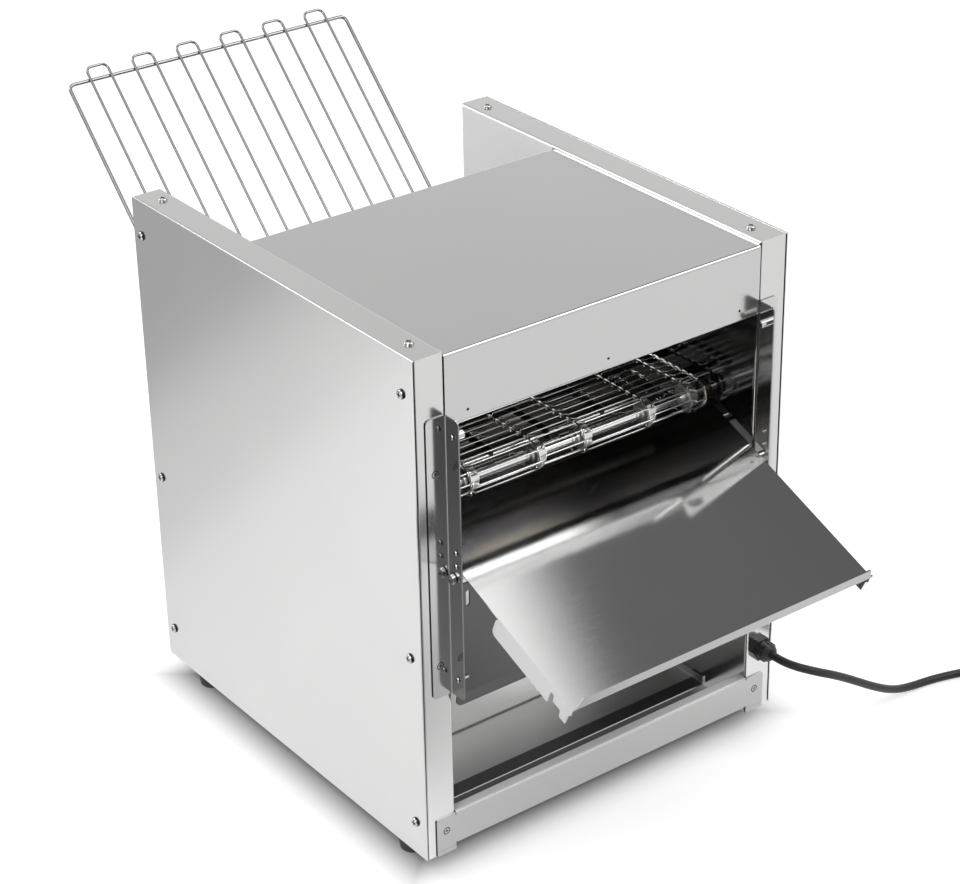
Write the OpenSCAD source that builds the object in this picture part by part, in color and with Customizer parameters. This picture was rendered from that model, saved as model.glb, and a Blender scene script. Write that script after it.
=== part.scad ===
// Conveyor toaster for buns and flat bread, with a wire belt between two folded
// steel columns, a wire infeed rack at the back and a sloping discharge tray.
// Millimetres. X runs across the machine, Y from front to back, Z up from the floor.

/* [Columns and casing] */
// Overall width across both side columns
body_w = 460; // [450:1:480]
// Depth of the side columns
body_d = 494; // [488:1:512]
// Height of the side columns without the feet
body_h = 555; // [545:1:580]
// Width of each side column
column_w = 36; // [34:1:40]
// Thickness of the folded sheets
sheet = 1.5; // [1.2:0.1:1.8]
// Thickness of the flat outer panels
panel_t = 1.2; // [1:0.1:1.5]
// Inside radius of the folds
fold_r = 1.5; // [1:0.1:2.5]
// Width of the lips that the outer panels are screwed to
lip_w = 26; // [22:1:32]
// Height of the rubber feet
foot_h = 22; // [16:1:28]
// Diameter of the rubber feet
foot_d = 30; // [24:1:32]
// Distance from a foot's centre to the front and back of the columns
foot_inset = 54; // [40:1:70]

/* [Top cover] */
// How far the cover lies below the column tops
cover_drop = 4; // [2:0.5:8]
// Length of the cover from the fascia to its back edge
cover_len = 330; // [310:1:345]
// Height of the fascia
fascia_h = 76; // [70:1:80]
// Diameter of the three holes in the fascia
fascia_hole_d = 3; // [2:0.5:4]
// Distance from the outer fascia holes to the columns
fascia_hole_inset = 26; // [20:1:44]

/* [Front brackets] */
// Height of the brackets' lower end above the column bottoms
bracket_z = 187; // [180:1:195]
// Length of the brackets
bracket_len = 304; // [295:1:312]
// Width of the bracket plate on the column front
bracket_plate_w = 22; // [20:1:24]
// How far the bracket flange stands out
bracket_flange = 21.6; // [19:0.2:24]
// Diameter of the upper studs
stud_d = 8; // [6:0.5:9]
// Diameter of the bolts that carry the discharge tray
tray_bolt_d = 8; // [6:0.5:9]
// How far those bolts lie below the belt shafts
tray_bolt_drop = 41.5; // [40:0.5:43]

/* [Base] */
// Height of the front crossmember's face
cross_h = 39; // [34:1:44]
// Height of its lower edge above the column bottoms
cross_z = 6; // [4:0.5:8]
// Height of the screwed end tabs
tab_h = 44; // [40:1:48]
// Distance from the column fronts to the floor plate
floor_start = 66; // [56:1:76]
// Distance from the column fronts to the upright panel behind the base compartment
cover_start = 157; // [150:1:159]
// Height of the compartment cover's top
compartment_h = 314; // [308:1:315]
// Height of the apron's lower edge
apron_z = 171; // [160:1:185]
// How far the apron's upper edge lies below the compartment cover's top
apron_drop = 5; // [3:1:10]

/* [Conveyor] */
// Distance between neighbouring wires of the belt
pitch = 11.5; // [11.2:0.1:11.7]
// Teeth on a belt sprocket
teeth = 8; // [8:1:8]
// Thickness of the belt wires
wire_d = 1.8; // [1.4:0.1:2]
// Space between the belt's edges and the columns
belt_side = 10; // [8:1:14]
// Place of the inner joints, as a part of the belt's half width
joint_in_part = 0.158; // [0.14:0.002:0.18]
// Place of the middle joints, as a part of the belt's half width
joint_mid_part = 0.614; // [0.58:0.002:0.64]
// Distance from the belt's edges to its outer joints
joint_edge = 15; // [13:1:20]
// Step of a wire at each joint
joint_step = 4; // [3:0.5:5]
// Diameter of the two belt shafts
shaft_d = 10; // [8:0.5:11]
// Height of the belt shafts above the compartment cover's top
shaft_rise = 48; // [47:1:52]
// Distance from the column fronts to the drive shaft
shaft_y = 78; // [77:1:80]
// Least distance from the rear shaft to the column backs
belt_back = 46; // [44:1:48]
// Width of a belt sprocket
sprocket_w = 10; // [8:0.5:12]
// Running clearance of the shafts in their bearings, on the radius
run_gap = 0.05; // [0.03:0.01:0.08]

/* [Chain drive] */
// Pitch of the drive chain
chain_pitch = 8; // [7.8:0.05:8.1]
// Pitches of chain between the two sprockets
chain_links = 22; // [21:1:22]
// Angle of the chain below the horizontal
chain_drop = 50; // [48:1:54]
// Diameter of the chain rollers
roller_d = 5; // [4.5:0.1:5.2]

/* [Heating] */
// Heating elements above and below the belt
heater_count = 5; // [3:1:5]
// Diameter of a heating element
heater_d = 10; // [8:0.5:10]
// Distance between neighbouring elements
heater_gap = 50; // [46:1:52]
// How far the upper elements lie below the top of the cover
upper_heater_drop = 58; // [55:1:63]

/* [Discharge tray] */
// Slope of the tray
tray_slope = 22; // [21:0.5:24]
// Space between the tray's sides and the columns
tray_side = 5; // [4:0.5:7]
// Distance from the column fronts to the tray's rear edge, behind them
tray_rear = 58; // [54:1:58.5]
// Length of the tray along its slope
tray_len = 257; // [240:1:270]
// Height of the front lip
tray_lip = 15.5; // [12:0.5:20]
// Depth of the side flanges
tray_flange = 23; // [18:0.5:26]
// Length of the side flanges
tray_flange_len = 122; // [110:1:130]
// Diameter of the rod that the tray's hooks hold
tray_rod_d = 6; // [5:0.5:7]

/* [Infeed rack] */
// Slope of the rack
rack_slope = 45; // [43:0.5:47]
// Length of the rack's rails
rack_len = 325; // [300:1:350]
// Space between the rack's rails and the columns
rack_side = 12; // [10:1:16]
// Diameter of the rails and cross rods
rail_d = 4; // [3.5:0.1:4.5]
// Diameter of the loop wires
loop_d = 3; // [2.5:0.1:3.2]
// Number of wire loops
loop_count = 6; // [5:1:6]
// Distance from the rack's rails to the middles of the outer loops
loop_edge = 39.5; // [36:0.5:46]
// Width of a loop between its wires' middles
loop_w = 26; // [22:1:30]
// How far the loops stand past the top rod
loop_over = 14; // [10:1:18]

/* [Crumb tray] */
// Depth of the crumb tray
crumb_h = 13; // [11:0.5:14]
// Thickness of its sheet
crumb_t = 1; // [0.8:0.1:1.2]
// Height of the runners' upper face above the compartment cover's top
runner_rise = 5; // [4:0.5:6]

/* [Controls] */
// Distance from the column backs to the row of knobs
control_inset = 92; // [80:1:110]
// Height of the lowest knob above the column bottoms
control_z = 92; // [80:1:110]
// Distance between neighbouring knobs
control_gap = 52; // [46:1:56]
// Diameter of a knob
knob_d = 36; // [30:1:40]
// Height of a knob
knob_h = 17; // [14:0.5:20]
// Diameter of a knob's spindle
spindle_d = 6; // [5:0.5:6]

/* [Cord] */
// Diameter of the mains cord
cord_d = 9; // [8:0.5:9.5]
// Height of the cable gland above the column bottoms
gland_z = 77; // [72:1:84]
// Width of the gland across its flats
gland_af = 24; // [22:1:26]

/* [Screws] */
// Thread diameter of the casing screws
screw_d = 5; // [4:0.5:5.5]
// Head diameter of the pan-head screws
head_d = 10; // [8:0.5:11]
// Head height of the pan-head screws
head_h = 3; // [2.4:0.2:3.4]

/* [Hidden] */
$fn = 48;

steel = [0.78, 0.78, 0.77];
bright = [0.86, 0.86, 0.86];
dark_steel = [0.45, 0.45, 0.46];
black = [0.09, 0.09, 0.09];
white = [0.92, 0.91, 0.87];
brass = [0.78, 0.62, 0.34];

// Small gaps: between fixed pieces, round screws, and between pieces that move
fit = 0.2;
hole_gap = 0.15;
move_gap = 0.3;
// Gap of a piece that is pressed or laid on another
press_gap = 0.02;
// Overlap of a cutting shape past the face that it cuts
cut = 1;
// Depth of the screw holes that go through a front flange
hole_deep = 22;

// Casing
in_x = body_w / 2 - column_w;
out_x = body_w / 2;
span = 2 * (in_x - fit);
cover_top = body_h - cover_drop;
fascia_z = cover_top - fascia_h;
hem = 12;
cover_hem = 16;
fascia_hole_z = fascia_z + 12.5;
// Middle of the floor plate, and of the folds that stand on it
floor_mid = 3;
foot_mid = floor_mid + sheet + fit;
floor_flange = 10;
inner_back = body_d - 2 * sheet - fit;
panel_rows = [38, 231, body_h - 39];
cover_foot = 12;
panel_columns = [17.5, body_d - 14.5];
top_screw_x = out_x - 20.5;
top_screw_y = [32.5, body_d - 28];

// Screws: lengths, and the flush heads that fill the thickness of a sheet
screw_len = 9;
flush_d = screw_d + 2 * sheet;
flush_len = 10;
small_head_d = 6;
small_head_h = 2;
small_screw_d = 3;
small_len = 4;

// Front crossmember's end tabs, and the slots of the floor and the rear panel
tab_w = 27;
tab_corner = 3;
tab_screw_x = in_x + 12;
tab_screw_z = 27;
floor_vent_w = 5;
floor_vent_len = 50;
floor_vent_y = [cover_start + 40, cover_start + 110];
rear_vent_w = 4;
rear_vent_len = 60;
rear_vent_z = [compartment_h / 4, compartment_h * 0.54];

// Straps that lap the rear panel over the column backs
strap_w = 48;
strap_h = 22;
strap_z = [45, compartment_h - 45];

// Apron
apron_y = -8;
apron_kick = 15;
apron_wide = span - 2 * fit;
apron_flange = 23;
apron_h = compartment_h - apron_drop - apron_z;
apron_slot_w = 4.6;
apron_slot_len = 17;

// Conveyor
pitch_r = pitch / (2 * sin(180 / teeth));
run_links = floor((body_d - shaft_y - belt_back) / pitch);
idler_y = shaft_y + run_links * pitch;
shaft_z = compartment_h + shaft_rise;
belt_half = in_x - belt_side;
joint_out = belt_half - joint_edge;
joint_mid = round(belt_half * joint_mid_part);
joint_in = round(belt_half * joint_in_part);
belt_joints = [-joint_out, -joint_mid, -joint_in, joint_in, joint_mid, joint_out];
// Hooks that reach from each wire to the next, beside the sprockets
hook_x = sprocket_w / 2 + wire_d / 2 + move_gap;
wrap_hook_gap = 0.5;
// The wires step on the chords between them, so the sprockets stay inside those
sprocket_r = pitch_r * cos(180 / teeth) - wire_d / 2 - move_gap;
sprocket_hub_d = shaft_d + 6;
sprocket_hub_len = sprocket_w + 8;
sprocket_rim = 3;
sprocket_dish = 2;
groove_d = wire_d + 5;
bush_r = shaft_d / 2 + 3;
bush_flange_r = bush_r + 3;
bush_flange_t = 2;
bush_len = 8;
lower_heater_y = shaft_y + 42;
upper_heater_y = 64;
upper_heater_z = cover_top - upper_heater_drop;
heater_reach = 12;
cap_r = heater_d / 2 + 2;
reflector_t = 1;
reflector_z = upper_heater_z + heater_d / 2 + 9;
reflector_flange = 22;
reflector_y = [24, cover_len - 14];
rod_d = 6;
rail_t = 2;
rail_h = 8;
rail_top = shaft_z + pitch_r - wire_d / 2 - move_gap;
rail_out = (joint_out + joint_mid) / 2;
rail_in = (joint_mid + joint_in) / 2;
rail_x = [-rail_out, -rail_in, 0, rail_in, rail_out];
rail_y = [shaft_y + sprocket_r + 2, idler_y - sprocket_r - 2];
rail_rod_y = [rail_y[0] + 5, idler_y - 101, rail_y[1] - 6];
rail_rod_z = rail_top - rail_h - rod_d / 2 + 1;

// Chain drive in the right column
chain_teeth = 12;
chain_r = chain_pitch / (2 * sin(180 / chain_teeth));
chain_c = chain_links * chain_pitch;
chain_x = in_x + 17;
chain_disc_t = 2.6;
chain_plate_t = 0.8;
chain_plate_h = 2.9;
chain_hub_d = 18;
chain_hub_len = 5;
motor_y = shaft_y + chain_c * cos(chain_drop);
motor_z = shaft_z - chain_c * sin(chain_drop);
motor_shaft_d = 8;
shaft_end = chain_x + 5;
motor_plate_t = 2;
motor_spigot = 12;
gearbox_w = 34;
gearbox_y = 58;
gearbox_z = 70;
motor_r = 27;
motor_len = 72;

// Brackets and studs on the column fronts
stud_y = -12.5;
upper_stud_z = bracket_z + bracket_len - 18.5;
lower_stud_z = bracket_z + 21;
lower_stud_d = 4;
stud_len = 10;
tray_bolt_y = -9.6;
tray_bolt_z = shaft_z - tray_bolt_drop;
tray_bolt_reach = 10;
tray_bolt_neck = 5;
plate_screw_x = in_x + 14;
plate_screw_z = [bracket_z + 36, bracket_z + bracket_len - 58];
guide_screw_y = -14;
guide_screw_z = [tray_bolt_z + 15, tray_bolt_z + 29.5];

// Discharge tray: its underside rests just above the bolts
tray_rest = tray_bolt_d / 2 + move_gap + sheet / 2;
tray_z0 = tray_bolt_z + tray_rest / cos(tray_slope)
  + (tray_rear - tray_bolt_y) * tan(tray_slope);
tray_rod_u = 15;
tray_rod_w = -(tray_rod_d / 2 + move_gap + sheet / 2);
tray_rod_y = tray_rear - tray_rod_u * cos(tray_slope) - tray_rod_w * sin(tray_slope);
tray_rod_z = tray_z0 - tray_rod_u * sin(tray_slope) + tray_rod_w * cos(tray_slope);
tray_half = in_x - tray_side;
tray_hook_x = [69 - tray_half, tray_half - 69];
tray_hook_w = 22;

// Crumb tray under the belt
runner_z = compartment_h + runner_rise;
crumb_half = in_x - 6;
crumb_y = [tray_rear + 10, body_d + 1];
crumb_z = runner_z + move_gap;

// Infeed rack: its lower rod sits in the hooks behind the belt
rack_half = in_x - rack_side;
loop_pitch = 2 * (rack_half - loop_edge) / (loop_count - 1);
rack_y = idler_y + 28;
rack_z = rail_top + wire_d - 3;
rack_wire_w = rail_d / 2 + loop_d / 2 + press_gap;
rack_bend = 7;
hook_t = 2;
hook_plate = 22;
bar_deep = 18;
bar_z = crumb_z + crumb_h + 16;
bar_top = rack_z + (body_d - rack_y) * tan(rack_slope)
  - (rail_d / 2 + move_gap) / cos(rack_slope) - sheet * tan(rack_slope);

// Controls on the right panel
control_y = body_d - control_inset;
knob_z = [control_z, control_z + control_gap, control_z + 2 * control_gap];
switch_z = knob_z[2] + control_gap + 4;
switch_w = 14;
switch_h = 30;
rocker_r = 12.5;
lamp_y = control_y - 40;
lamp_r = 5;
regulator_r = 12;
regulator_len = 20;
control_hole = [90, 80];
bezel_w = switch_w + 6;
bezel_h = switch_h + 2;
bezel_t = 2;

// Electrics in the base compartment
block_at = [40, cover_start + 170];
block_size = [76, 24, 22];
block_ways = 5;
block_pitch = 14.5;
thermostat_at = [cover_start + 120, compartment_h - 84];
thermostat_d = 24;
thermostat_h = 14;

// Cable entry in the right column's front
gland_x = out_x - column_w / 2;
gland_r = 8;
gland_hex = 7;
gland_cap = 14;
gland_bore = 5;
nut_t = 5;
cord_r = cord_d / 2;

// Cord: the route's points from the gland down to the floor and into the coil
floor_z = -foot_h;
cord_route = [
  [212, -16, 77], [212, -30, 77], [214, -42.5, 76.6], [219.5, -54, 75.2], [228.5, -63, 72.3],
  [239.5, -69, 67.8], [252, -71.5, 61.6], [270, -71.7, 50.8], [290, -71, 37.6], [310, -69.6, 24],
  [330, -67.4, 11], [350, -64, -1], [370, -61.5, -10], [391, -60, -15.5],
  [413, -61.5, -17.5], [436, -67, -17.5], [460, -75, -17.5], [490, -86, -17.5]
];
cord_sides = 10;
// Coil of the rest of the cord: turns side by side and on each other
coil_at = [484, -146];
coil_r = 54;
coil_wide = 2;
coil_high = 2;
coil_turn_r = coil_r + (coil_wide - 1) * cord_r;
// Plug beside the coil, where the outer turn leaves it
plug_r = 18;
plug_len = 38;
relief_len = 30;
relief_sunk = 2;
pin_d = 4.8;
pin_len = 19;
pin_gap = 19;
plug_x = coil_at[0] + coil_turn_r;
plug_y = coil_at[1] - sqrt(pow(coil_turn_r + cord_r, 2) - pow(coil_turn_r, 2))
  + relief_sunk - plug_len - relief_len;

// Middle of the standing object, without its cord
tray_tip_y = tray_rear - (tray_len + sheet / 2) * cos(tray_slope)
  - tray_lip * sin(tray_slope);
rack_tip_y = rack_y + (rack_len + loop_over) * cos(rack_slope)
  - rack_wire_w * sin(rack_slope) + loop_d / 2;
mid_x = (knob_h - head_h) / 2;
mid_y = (tray_tip_y + rack_tip_y) / 2;

// ---------------------------------------------------------------- helpers

// Moves a piece from the column corner to the middle of the object's footprint
module place() {
  translate([-mid_x, -mid_y, foot_h]) children();
}

// Extrudes a Y-Z outline across X, centred
module across(w) {
  rotate([90, 0, 90]) linear_extrude(height = w, center = true) children();
}

// Both sides: as drawn at positive X and mirrored
module both_sides() {
  for (s = [0, 1]) mirror([s, 0, 0]) children();
}

// A round bar along X from a to b
module bar_x(a, b, d) {
  translate([a, 0, 0]) rotate([0, 90, 0]) cylinder(d = d, h = b - a);
}

function unit(v) = v / norm(v);
function left_of(d) = [-d[1], d[0]];
function turned(v, a) = [v[0] * cos(a) - v[1] * sin(a), v[0] * sin(a) + v[1] * cos(a)];
function turn(a, b) = atan2(a[0] * b[1] - a[1] * b[0], a * b);
function reversed(p) = [for (i = [len(p) - 1 : -1 : 0]) p[i]];

// One side of a folded strip that follows the line p, at the distance o to its left
function fold_side(p, rc, o, n) = [
  for (i = [0 : len(p) - 1])
    let (a = i > 0 ? unit(p[i] - p[i - 1]) : unit(p[1] - p[0]),
         b = i < len(p) - 1 ? unit(p[i + 1] - p[i]) : a,
         f = turn(a, b),
         s = sign(f),
         c = p[i] - a * rc * tan(abs(f) / 2) + s * rc * left_of(a),
         r = rc - s * o)
    each (i == 0 || i == len(p) - 1)
      ? [p[i] + o * left_of(a)]
      : [for (k = [0 : n]) c - s * r * turned(left_of(a), f * k / n)]
];

// Outline of a strip of thickness t folded along the line p with inside radius r
function folded(p, t, r, n = 5) = concat(
  fold_side(p, r + t / 2, t / 2, n),
  reversed(fold_side(p, r + t / 2, -t / 2, n))
);

// Rectangle from the origin with all corners rounded
module round_rect(w, h, r) {
  translate([r, 0]) square([w - 2 * r, h]);
  translate([0, r]) square([w, h - 2 * r]);
  for (x = [r, w - r], y = [r, h - r]) translate([x, y]) circle(r = r);
}

// Slot of width w that runs from the origin along Y, with round ends
module slot(w, len) {
  translate([-w / 2, w / 2]) square([w, len - w]);
  for (y = [w / 2, len - w / 2]) translate([0, y]) circle(d = w);
}

// Pan-head screw: head above the XY plane, thread below it
module pan_screw(d, hd, hh, len) {
  difference() {
    union() {
      rotate_extrude()
        polygon([[0, 0], [hd / 2, 0], [hd / 2, hh * 0.45], [hd * 0.42, hh * 0.78],
                 [hd * 0.28, hh * 0.95], [0, hh]]);
      translate([0, 0, -len]) cylinder(d = d, h = len);
    }
    cross_recess(hd * 0.62, hh * 0.55, hh);
  }
}

// Countersunk screw: flat head flush with the XY plane
module flush_screw(d, hd, len) {
  sink = (hd - d) / 2;
  difference() {
    union() {
      translate([0, 0, -sink]) cylinder(d1 = d, d2 = hd, h = sink);
      translate([0, 0, -len]) cylinder(d = d, h = len - sink);
    }
    cross_recess(hd * 0.5, sink * 0.7, 0);
  }
}

// Cross recess of width w and depth h below the height top
module cross_recess(w, h, top) {
  for (a = [0, 90]) rotate([0, 0, a])
    translate([-w / 2, -w * 0.11, top - h]) cube([w, w * 0.22, h + cut]);
}

// Hole for a countersunk screw that points along -Z from the XY plane
module flush_hole(d, hd) {
  sink = (hd - d) / 2 + hole_gap;
  translate([0, 0, -sink]) cylinder(d1 = d + 2 * hole_gap, d2 = hd + 4 * hole_gap,
                                    h = sink + hole_gap);
  translate([0, 0, -hole_deep]) cylinder(d = d + 2 * hole_gap, h = hole_deep + cut);
}

// Hole of diameter d through the inner wall of a column or the flange on it
module wall_hole(y, z, d) {
  translate([0, y, z]) bar_x(in_x - cut, in_x + sheet + cut, d);
}

// Turns a screw drawn along Z so that its head points to the front
module to_front() rotate([90, 0, 0]) children();

// Turns a screw drawn along Z so that its head points to the back
module to_back() rotate([-90, 0, 0]) children();

// Turns a screw drawn along Z so that its head points to positive X
module to_right() rotate([0, 90, 0]) children();

// ---------------------------------------------------------------- side columns

// Folded pan that opens outwards, drawn for the right side
module column_pan() {
  depth = column_w - panel_t;
  r = fold_r + sheet;
  difference() {
    intersection() {
      translate([in_x, 0, 0]) linear_extrude(height = body_h) round_rect(depth, body_d, r);
      translate([in_x, body_d, 0]) rotate([90, 0, 0])
        linear_extrude(height = body_d) round_rect(depth, body_h, r);
    }
    translate([in_x + sheet, sheet, sheet])
      cube([depth - 2 * sheet, body_d - 2 * sheet, body_h - 2 * sheet]);
    translate([in_x + depth - 2 * sheet, lip_w, lip_w])
      cube([3 * sheet, body_d - 2 * lip_w, body_h - 2 * lip_w]);
    panel_screw_holes();
    column_wall_holes();
    column_front_holes();
    column_back_holes();
    for (y = top_screw_y)
      translate([top_screw_x, y, body_h - 3 * sheet])
        cylinder(d = screw_d + 2 * hole_gap, h = 4 * sheet);
  }
}

// Holes for the screws of the outer panel
module panel_screw_holes() {
  for (y = panel_columns, z = panel_rows)
    translate([out_x - 4 * sheet, y, z]) to_right()
      cylinder(d = screw_d + 2 * hole_gap, h = 6 * sheet);
}

// Holes in the inner wall for shafts, elements and rods
module column_wall_holes() {
  for (y = [shaft_y, idler_y]) wall_hole(y, shaft_z, 2 * (bush_r + press_gap));
  for (i = [0 : heater_count - 1]) {
    wall_hole(lower_heater_y + i * heater_gap, shaft_z, heater_d + 2 * hole_gap);
    wall_hole(upper_heater_y + i * heater_gap, upper_heater_z, heater_d + 2 * hole_gap);
  }
  for (y = rail_rod_y) wall_hole(y, rail_rod_z, rod_d + 2 * hole_gap);
  wall_hole(tray_rod_y, tray_rod_z, tray_rod_d + 2 * hole_gap);
}

// Holes in the front flange for the bracket and crossmember screws
module column_front_holes() {
  for (p = [[plate_screw_x, plate_screw_z[0]], [plate_screw_x, plate_screw_z[1]],
            [tab_screw_x, tab_screw_z]])
    translate([p[0], 0, p[1]]) to_front() translate([0, 0, -hole_deep])
      cylinder(d = screw_d + 2 * hole_gap, h = hole_deep + cut);
}

// Holes in the rear flange for the screws of the rear panel
module column_back_holes() {
  for (z = strap_z) translate([tab_screw_x, body_d, z]) to_back() translate([0, 0, -hole_deep])
    cylinder(d = screw_d + 2 * hole_gap, h = hole_deep + cut);
}

module left_side_frame() {
  color(steel) place() mirror([1, 0, 0]) column_pan();
}

module right_side_frame() {
  color(steel) place() difference() {
    column_pan();
    // Motor shaft, and the opening for the wiring of the controls
    wall_hole(motor_y, motor_z, motor_shaft_d + 6);
    translate([in_x - cut, control_y - 30, control_z - 22])
      cube([sheet + 2 * cut, control_hole[0], control_hole[1]]);
    // Cable gland
    translate([gland_x, 0, gland_z]) to_front() translate([0, 0, -sheet - cut])
      cylinder(r = gland_r + hole_gap, h = sheet + 2 * cut);
  }
}

// Flat outer panel, drawn for the right side
module outer_panel() {
  difference() {
    translate([out_x - panel_t, 0, 0]) cube([panel_t, body_d, body_h]);
    panel_screw_holes();
  }
}

module left_side_panel() {
  color(steel) place() mirror([1, 0, 0]) outer_panel();
}

module right_side_panel() {
  color(steel) place() difference() {
    outer_panel();
    for (z = knob_z) panel_hole(control_y, z, spindle_d + 3);
    translate([out_x - panel_t - cut, control_y - switch_w / 2 - 1, switch_z - switch_h / 2 + 2])
      cube([panel_t + 2 * cut, switch_w + 2, switch_h - 4]);
    panel_hole(lamp_y, switch_z, 2 * (lamp_r - 1 + fit));
  }
}

// Hole of diameter d through the right panel
module panel_hole(y, z, d) {
  translate([0, y, z]) bar_x(out_x - panel_t - cut, out_x + cut, d);
}

module panel_screws() {
  color(bright) place() both_sides()
    for (y = panel_columns, z = panel_rows)
      translate([out_x, y, z]) to_right() pan_screw(screw_d, head_d, head_h, screw_len);
}

module column_top_screws() {
  color(bright) place() both_sides()
    for (y = top_screw_y)
      translate([top_screw_x, y, body_h]) pan_screw(screw_d, head_d, head_h, screw_len);
}

// ---------------------------------------------------------------- top cover

// Roof and fascia in one sheet, hemmed below and behind
module top_cover() {
  t = sheet;
  line = [[cover_len - t / 2, cover_top - cover_hem], [cover_len - t / 2, cover_top - t / 2],
          [t / 2, cover_top - t / 2], [t / 2, fascia_z + t / 2], [hem, fascia_z + t / 2]];
  color(steel) place() difference() {
    union() {
      across(span) polygon(folded(line, t, fold_r));
      both_sides() translate([in_x - fit - t, 2 * hem, cover_top - t - cover_hem])
        cube([t, cover_len - 4 * hem, cover_hem]);
    }
    for (i = [-1 : 1]) translate([i * (in_x - fascia_hole_inset), 0, fascia_hole_z])
      to_front() translate([0, 0, -t - cut]) cylinder(d = fascia_hole_d, h = t + 2 * cut);
  }
}

// ---------------------------------------------------------------- front brackets

// L bracket, drawn for the right side: plate on the column, flange to the front
module front_bracket() {
  edge = in_x + bracket_plate_w + sheet;
  line = [[edge, -sheet / 2], [in_x + sheet / 2, -sheet / 2],
          [in_x + sheet / 2, -bracket_flange]];
  corner = 5;
  difference() {
    translate([0, 0, bracket_z]) linear_extrude(height = bracket_len)
      polygon(folded(line, sheet, fold_r));
    // Rounded corners of the plate and of the flange
    for (z = [bracket_z, bracket_z + bracket_len]) {
      s = z > bracket_z ? -1 : 1;
      translate([edge, 0, z]) to_front() translate([0, 0, -cut])
        corner_cut(corner, -1, s, sheet + 2 * cut);
      translate([in_x - cut, -bracket_flange, z]) rotate([90, 0, 90])
        corner_cut(corner, 1, s, sheet + 2 * cut);
    }
    for (z = plate_screw_z)
      translate([plate_screw_x, -sheet, z]) to_front() flush_hole(screw_d, flush_d);
    for (z = guide_screw_z) wall_hole(guide_screw_y, z, small_screw_d + 2 * hole_gap);
    for (z = [upper_stud_z, lower_stud_z]) wall_hole(stud_y, z, small_screw_d + 2 * hole_gap);
    wall_hole(tray_bolt_y, tray_bolt_z, tray_bolt_neck + 2 * hole_gap);
  }
}

// Removes the outside of a rounded corner; sx and sy point into the sheet
module corner_cut(r, sx, sy, h) {
  linear_extrude(height = h) scale_signs(sx, sy) difference() {
    translate([-cut, -cut]) square([r + cut, r + cut]);
    translate([r, r]) circle(r = r);
  }
}

// Mirrors an outline where a sign is negative
module scale_signs(sx, sy) {
  mirror([sx < 0 ? 1 : 0, 0]) mirror([0, sy < 0 ? 1 : 0]) children();
}

module left_bracket() {
  color(steel) place() mirror([1, 0, 0]) front_bracket();
}

module right_bracket() {
  color(steel) place() front_bracket();
}

// Screws of the plates, and the two small screws above each tray bolt
module bracket_screws() {
  color(bright) place() both_sides() {
    for (z = plate_screw_z) translate([plate_screw_x, -sheet, z]) to_front()
      flush_screw(screw_d, flush_d, flush_len);
    for (z = guide_screw_z) translate([in_x + sheet, guide_screw_y, z]) to_right()
      pan_screw(small_screw_d, small_head_d, small_head_h, small_len);
  }
}

// Round studs that point inwards from the flanges, each held by a small screw
module bracket_studs() {
  color(bright) place() both_sides() {
    for (p = [[upper_stud_z, stud_d, stud_len], [lower_stud_z, lower_stud_d, stud_len]])
      translate([0, stud_y, p[0]]) {
        bar_x(in_x - p[2], in_x, p[1]);
        translate([in_x + sheet, 0, 0]) to_right()
          pan_screw(small_screw_d, small_head_d, small_head_h, sheet);
      }
  }
}

// Bolts that the discharge tray rests on: shank inside the flange, head outside
module tray_bolts() {
  color(bright) place() both_sides() translate([0, tray_bolt_y, tray_bolt_z]) {
    bar_x(in_x - tray_bolt_reach, in_x, tray_bolt_d);
    bar_x(in_x - cut, in_x + sheet, tray_bolt_neck);
    translate([in_x + sheet, 0, 0]) to_right() difference() {
      rotate_extrude() polygon([[0, 0], [5.5, 0], [5.5, 3.6], [4.8, 4.4], [0, 4.4]]);
      // Hexagon socket
      translate([0, 0, 2]) cylinder(d = 5, h = 4, $fn = 6);
    }
  }
}

// ---------------------------------------------------------------- base

// Sheet that closes the front below the tray, with a kick at its lower edge
module front_apron() {
  t = sheet;
  line = [[apron_y + t / 2 + 3, apron_z], [apron_y + t / 2, apron_z + apron_kick],
          [apron_y + t / 2, apron_z + apron_h]];
  color(steel) place() difference() {
    union() {
      across(apron_wide) polygon(folded(line, t, fold_r, 2));
      // Side flanges that run back between the columns
      both_sides() translate([apron_wide / 2 - t, apron_y + t / 2, apron_z + apron_kick + 8])
        cube([t, apron_flange, apron_h - apron_kick - 16]);
    }
    both_sides() {
      translate([apron_wide / 2 - 15, 0, apron_z + apron_h - 26]) to_front()
        linear_extrude(height = -apron_y + cut) slot(apron_slot_w, apron_slot_len);
      translate([apron_wide / 2, 4, apron_z]) to_front() corner_cut(8, -1, 1, 14);
      // Room for the tray bolts and the lower studs
      for (p = [[tray_bolt_y, tray_bolt_z, tray_bolt_d], [stud_y, lower_stud_z, lower_stud_d]])
        translate([0, p[0], p[1]]) bar_x(in_x - 12, in_x + cut, p[2] + 3);
    }
  }
}

// Upright panel behind the base compartment, folded back over it
module compartment_cover() {
  t = sheet;
  line = [[cover_start + cover_foot, foot_mid], [cover_start + t / 2, foot_mid],
          [cover_start + t / 2, compartment_h - t / 2], [inner_back, compartment_h - t / 2]];
  color(steel) place() across(span) polygon(folded(line, t, fold_r));
}

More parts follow.
